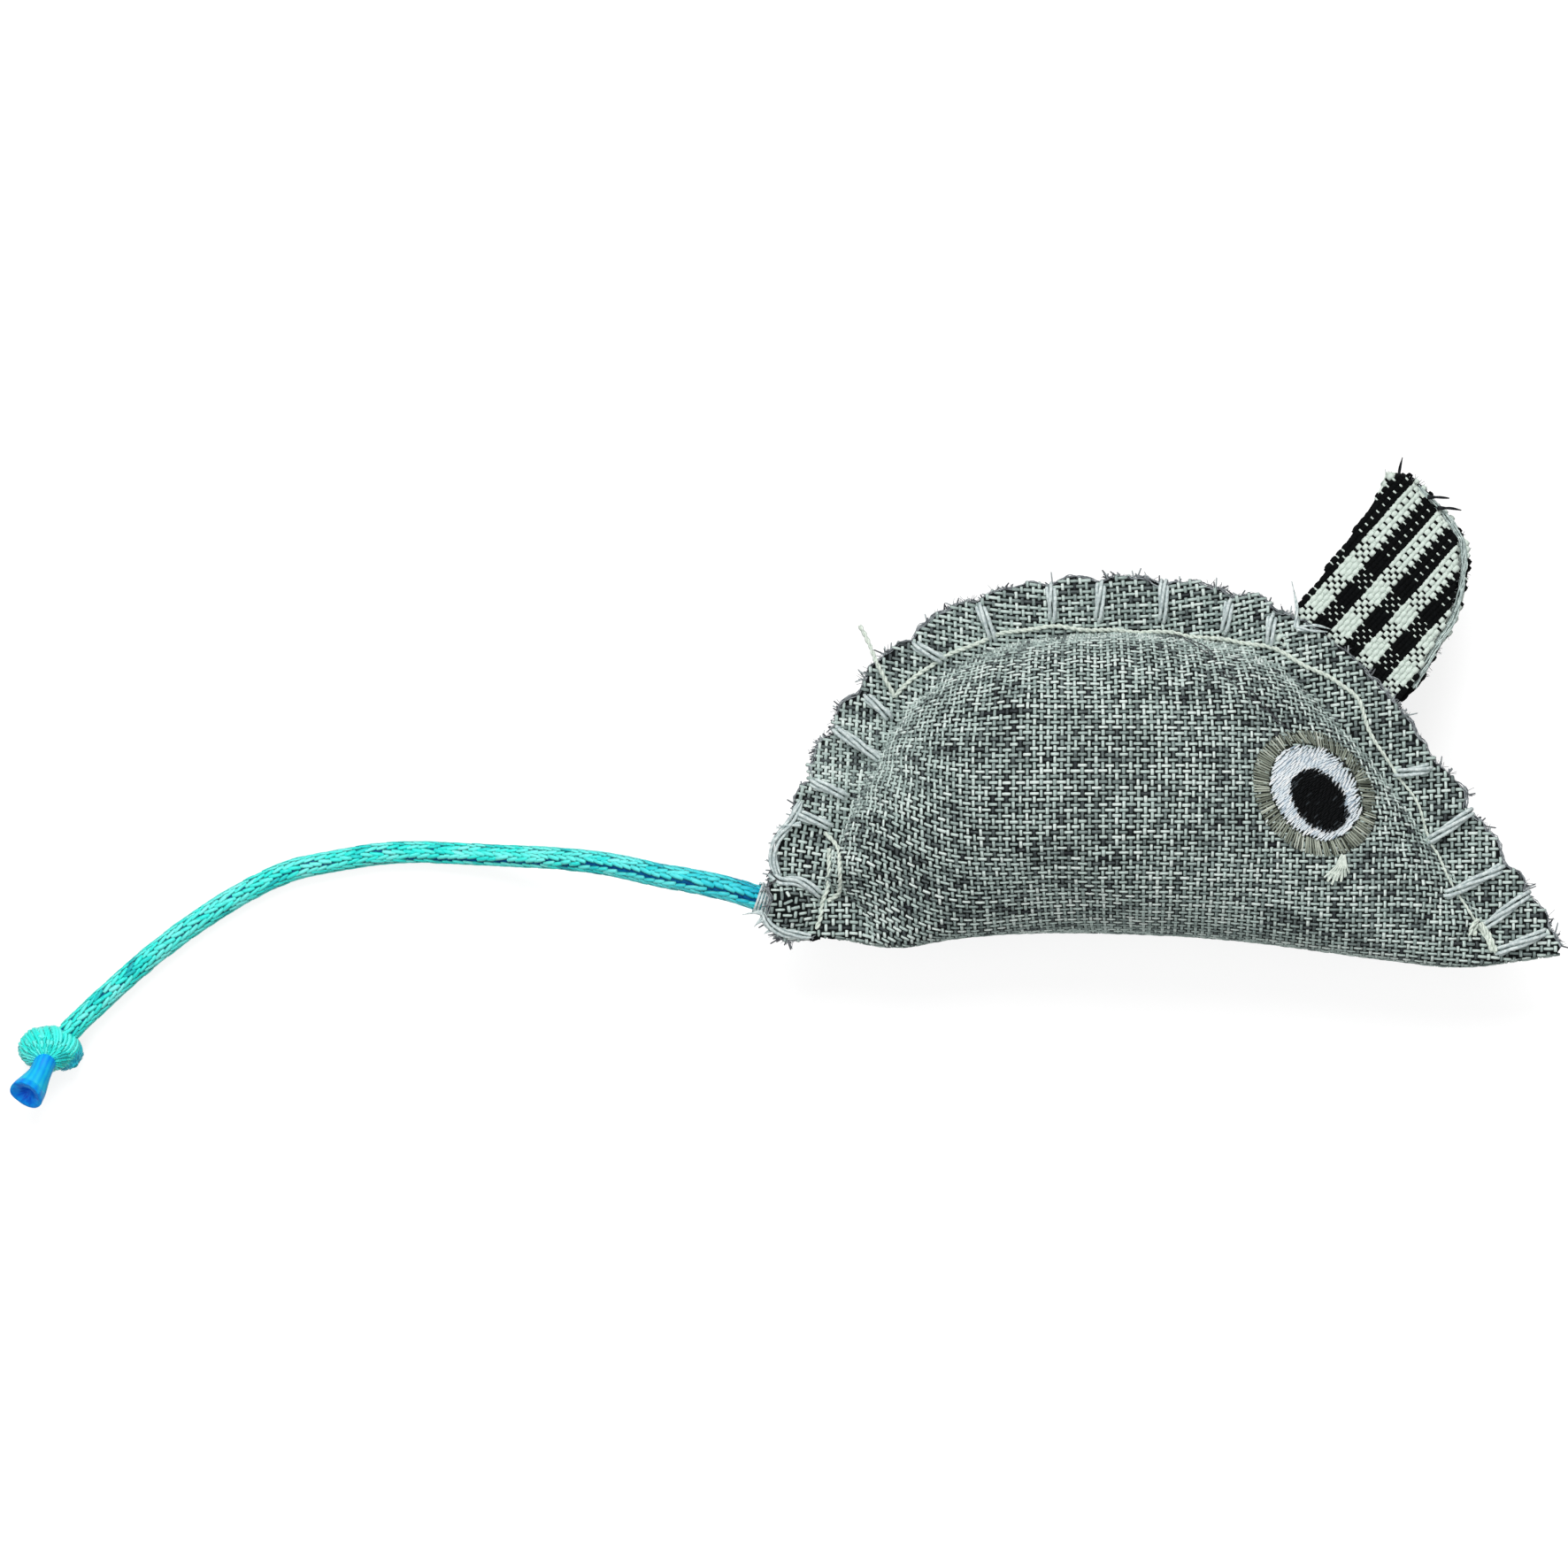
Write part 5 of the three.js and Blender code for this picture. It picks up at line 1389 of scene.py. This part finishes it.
# painted shade: the lobe's blue and root settings make its stitches and threads bluer
balls = [dict(name="tailKnot", nodes=["tail_knot"], centre=(-104.48, -26.7, 2.45), pole=(-0.12, -0.5, 0.86),
              half=2.44, wide=1.38, blue=0.1, root=0.0),
         dict(name="knotLobe", nodes=[], centre=(-102.95, -27.05, 2.0), pole=(0.5, -0.6, 0.35), half=1.9,
              wide=1.0, blue=100, root=0.45)]
# long satin threads run over both from pole to pole
knotThread = dict(strands=1, strand=0.2, spread=0.0, turns=0, spacing=0.2, fuzz=0.1, count=44, lift=0.885,
                  twist=0.3, stray=0.03, points=40, ends=0.25)


def makeBall(ball):
    runs = np.linspace(-knot["reach"], knot["reach"], 48)
    line = np.array(ball["centre"]) + unit(ball["pole"]) * ball["half"] * runs[:, None]
    made = knitOn(ball["name"], line, ball["half"] * np.sqrt(1 - runs ** 2), knot, satinKnot, satinKnot,
                  Blue=ball["blue"] * mm, Gather=1.0)
    middle = ball["centre"][0] * mm
    for vertex in made.data.vertices:
        vertex.co.x = middle + (vertex.co.x - middle) * ball["wide"]
    return made


def knotLines(ball, random):
    centre, pole = np.array(ball["centre"]), unit(ball["pole"])
    side = unit(np.cross(pole, (1, 0, 0)))
    top = np.cross(pole, side)
    lines = []
    for k in range(knotThread["count"]):
        turn = math.tau * (k + random.normal(0, 0.2)) / knotThread["count"]
        size = ball["half"] * (knotThread["lift"] + random.normal(0, knotThread["stray"]) * 0.5)
        bow = random.normal(0, knotThread["stray"])
        line = []
        for level in knotLevels:
            bent = turn + knotThread["twist"] * math.cos(level) + bow * math.sin(2 * level)
            out = (side * math.cos(bent) + top * math.sin(bent)) * size * math.sin(level)
            line.append((out - pole * size * math.cos(level)) * (ball["wide"], 1, 1) + centre)
        lines.append(line)
    return lines


random = np.random.default_rng(17)
knotLevels = np.linspace(0.05, 0.95, knotThread["points"]) * math.pi
lines, shadeBlues = [], []
for ball in balls:
    fix(makeBall(ball), "tail_satin", *ball["nodes"], on="tail")
    lines += knotLines(ball, random)
    shadeBlues += [ball["root"]] * knotThread["count"] * knotThread["points"]
tones = np.repeat(np.clip(random.normal(0.42, 0.16, len(lines)), 0, 1), knotThread["points"])
thins = [knotThread["ends"] + (1 - knotThread["ends"]) * np.sin(knotLevels)] * len(lines)
fix(spin("knotThreads", lines, knotThread, satinKnot, thins, tone=tones, root=shadeBlues), "tail_satin", on="tail")

# cut end: a short stub that the heat has opened into a cup
# tones along the stub: darker beside the ball as a painted shadow, lighter at the collar as a painted
# highlight, and darkest at the lip and in the cup, partly the melted end's own colour and partly painted
# shade in the hollow
tip = dict(route=[(-104.6, -27.5, 3.2), (-104.85, -28.15, 4.1), (-105.3, -29.2, 4.3), (-106.1, -30.6, 4.1),
                  (-106.6, -31.4, 4.8)],
           widths=[1.12, 1.12, 1.15, 1.6, 1.78],
           lip=[(0.1, 1.7), (0.08, 1.4), (-0.05, 1.05), (-0.3, 0.7), (-0.62, 0.42), (-0.75, 0.2)],
           rings=24, spokes=40, bumps=10, roughRing=20, toneRings=[0, 6, 14, 20, 24, 28],
           tones=[0.35, 0.5, 0.8, 0.6, 0.4, 0.05])


def makeTip():
    random = np.random.default_rng(5)
    n, rings = tip["spokes"], tip["rings"]
    line = smoothLine(np.column_stack([tip["route"], tip["widths"]]), rings)
    last = unit(line[-1, :3] - line[-3, :3])
    ends = [(p[:3], p[3]) for p in line]
    ends += [(line[-1, :3] + last * depth, radius) for depth, radius in tip["lip"]]
    bumps = random.uniform(0.88, 1.1, tip["bumps"])
    bumps = np.interp(np.arange(n), np.linspace(0, n, tip["bumps"] + 1), [*bumps, bumps[0]])
    points, tones, ribs = [], [], []
    for k, (spot, radius) in enumerate(ends):
        along = unit(line[min(k + 1, rings - 1), :3] - line[max(k - 1, 0), :3]) if k < rings else last
        side = unit(np.cross(along, (0, 0, 1)))
        top = np.cross(side, along)
        rough = min(1, k / tip["roughRing"]) ** 2
        tones += [float(np.interp(k, tip["toneRings"], tip["tones"]))] * n
        for turn, bump in zip(np.linspace(0, math.tau, n, endpoint=False), bumps):
            out = side * math.cos(turn) + top * math.sin(turn)
            points.append(spot + out * radius * (1 + (bump - 1) * rough))
            if k > rings:
                ribs.append(0.2 * random.random())
            else:
                ribs.append(turn / 2 if turn < math.pi else math.pi - turn / 2)
    faces = turnedOver(ringFaces(len(ends), n))
    faces.append(tuple(range(n))[::-1])
    faces.append(tuple(range(len(points) - n, len(points))))
    mesh = carry(meshOf("tailTip", points, faces), tone=tones, ribs=ribs)
    mesh.materials.append(meltedEnd)
    return addPiece("tailTip", mesh)


tailTip = makeTip()
finer = tailTip.modifiers.new("finer", "SUBSURF")
finer.levels = finer.render_levels = 2
fix(tailTip, "tail_melt", "tail_tip", on="tail")
print("stage: knot and end")

# fillings: loose fibre and dried leaf, in the room that the solids keep inside the cover
filling = dict(voxel=0.7, rough=0.25)
for name, node, material, slotName in (("rearWadding", "rear_wadding", waddingFibre, "wadding"),
                                       ("headWadding", "head_wadding", waddingFibre, "wadding"),
                                       ("catnipFilling", "catnip_filling", catnipLeaf, "dried_catnip")):
    lump = addPiece(name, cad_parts[node].data.copy())
    remesh = lump.modifiers.new("remesh", "REMESH")
    remesh.mode = "VOXEL"
    remesh.voxel_size = filling["voxel"] * mm
    mesh = settled(lump)
    points, normals = pointsAndNormals(mesh)
    rough = np.random.default_rng(3).uniform(-filling["rough"], 0, len(mesh.vertices)).repeat(3) * mm
    mesh.vertices.foreach_set("co", points + normals * rough)
    mesh.materials.clear()
    mesh.materials.append(material)
    lump.data = mesh
    fix(lump, slotName, node)
print("stage: fillings")

# floor, lights and world
studio = dict(floor=3000, floorDrop=0.15, floorGlow=0.8, sky=0.36, key=17, keyPlace=(-0.15, 0.95, 1.25),
              keySize=0.9, top=6, topPlace=(-0.5, -0.3, 1.6), topSize=1.2, aim=(-0.01, 0, 0.01))


def seenDirectly(tree):
    light = put(tree, "ShaderNodeLightPath")
    return (light["Is Camera Ray"] + light["Is Glossy Ray"] + light["Is Transmission Ray"]).do("MINIMUM", 1.0)


corners = [(x * studio["floor"], y * studio["floor"], -studio["floorDrop"])
           for x, y in ((-1, -1), (1, -1), (1, 1), (-1, 1))]
floor = addPiece("floor", meshOf("floor", corners, [(0, 1, 2, 3)]))
floorPaint, tree, shader = startMaterial("floorPaint", 0.9, Base_Color=screen(158, 158, 158))
shader.inputs["Emission Color"].default_value = (1, 1, 1, 1)
glow = seenDirectly(tree) * studio["floorGlow"]
tree.links.new(glow.socket, shader.inputs["Emission Strength"])
floor.data.materials.append(floorPaint)
world = bpy.data.worlds.new("studio")
scene.world = world
world.use_nodes = True
background = world.node_tree.nodes["Background"]
background.inputs["Color"].default_value = (1, 1, 1, 1)
strength = seenDirectly(world.node_tree) * (1 - studio["sky"]) + studio["sky"]
world.node_tree.links.new(strength.socket, background.inputs["Strength"])
for name in ("key", "top"):
    lamp = bpy.data.lights.new(name, "AREA")
    lamp.energy = studio[name]
    lamp.size = studio[name + "Size"]
    lampObject = bpy.data.objects.new(name, lamp)
    lampObject.location = studio[name + "Place"]
    aim = Vector(studio["aim"]) - lampObject.location
    lampObject.rotation_euler = aim.to_track_quat("-Z", "Y").to_euler()
    scene.collection.objects.link(lampObject)
print("stage: studio")

for helper in (threadShape, sheetShape):
    bpy.data.objects.remove(helper)
print("stage: finished")
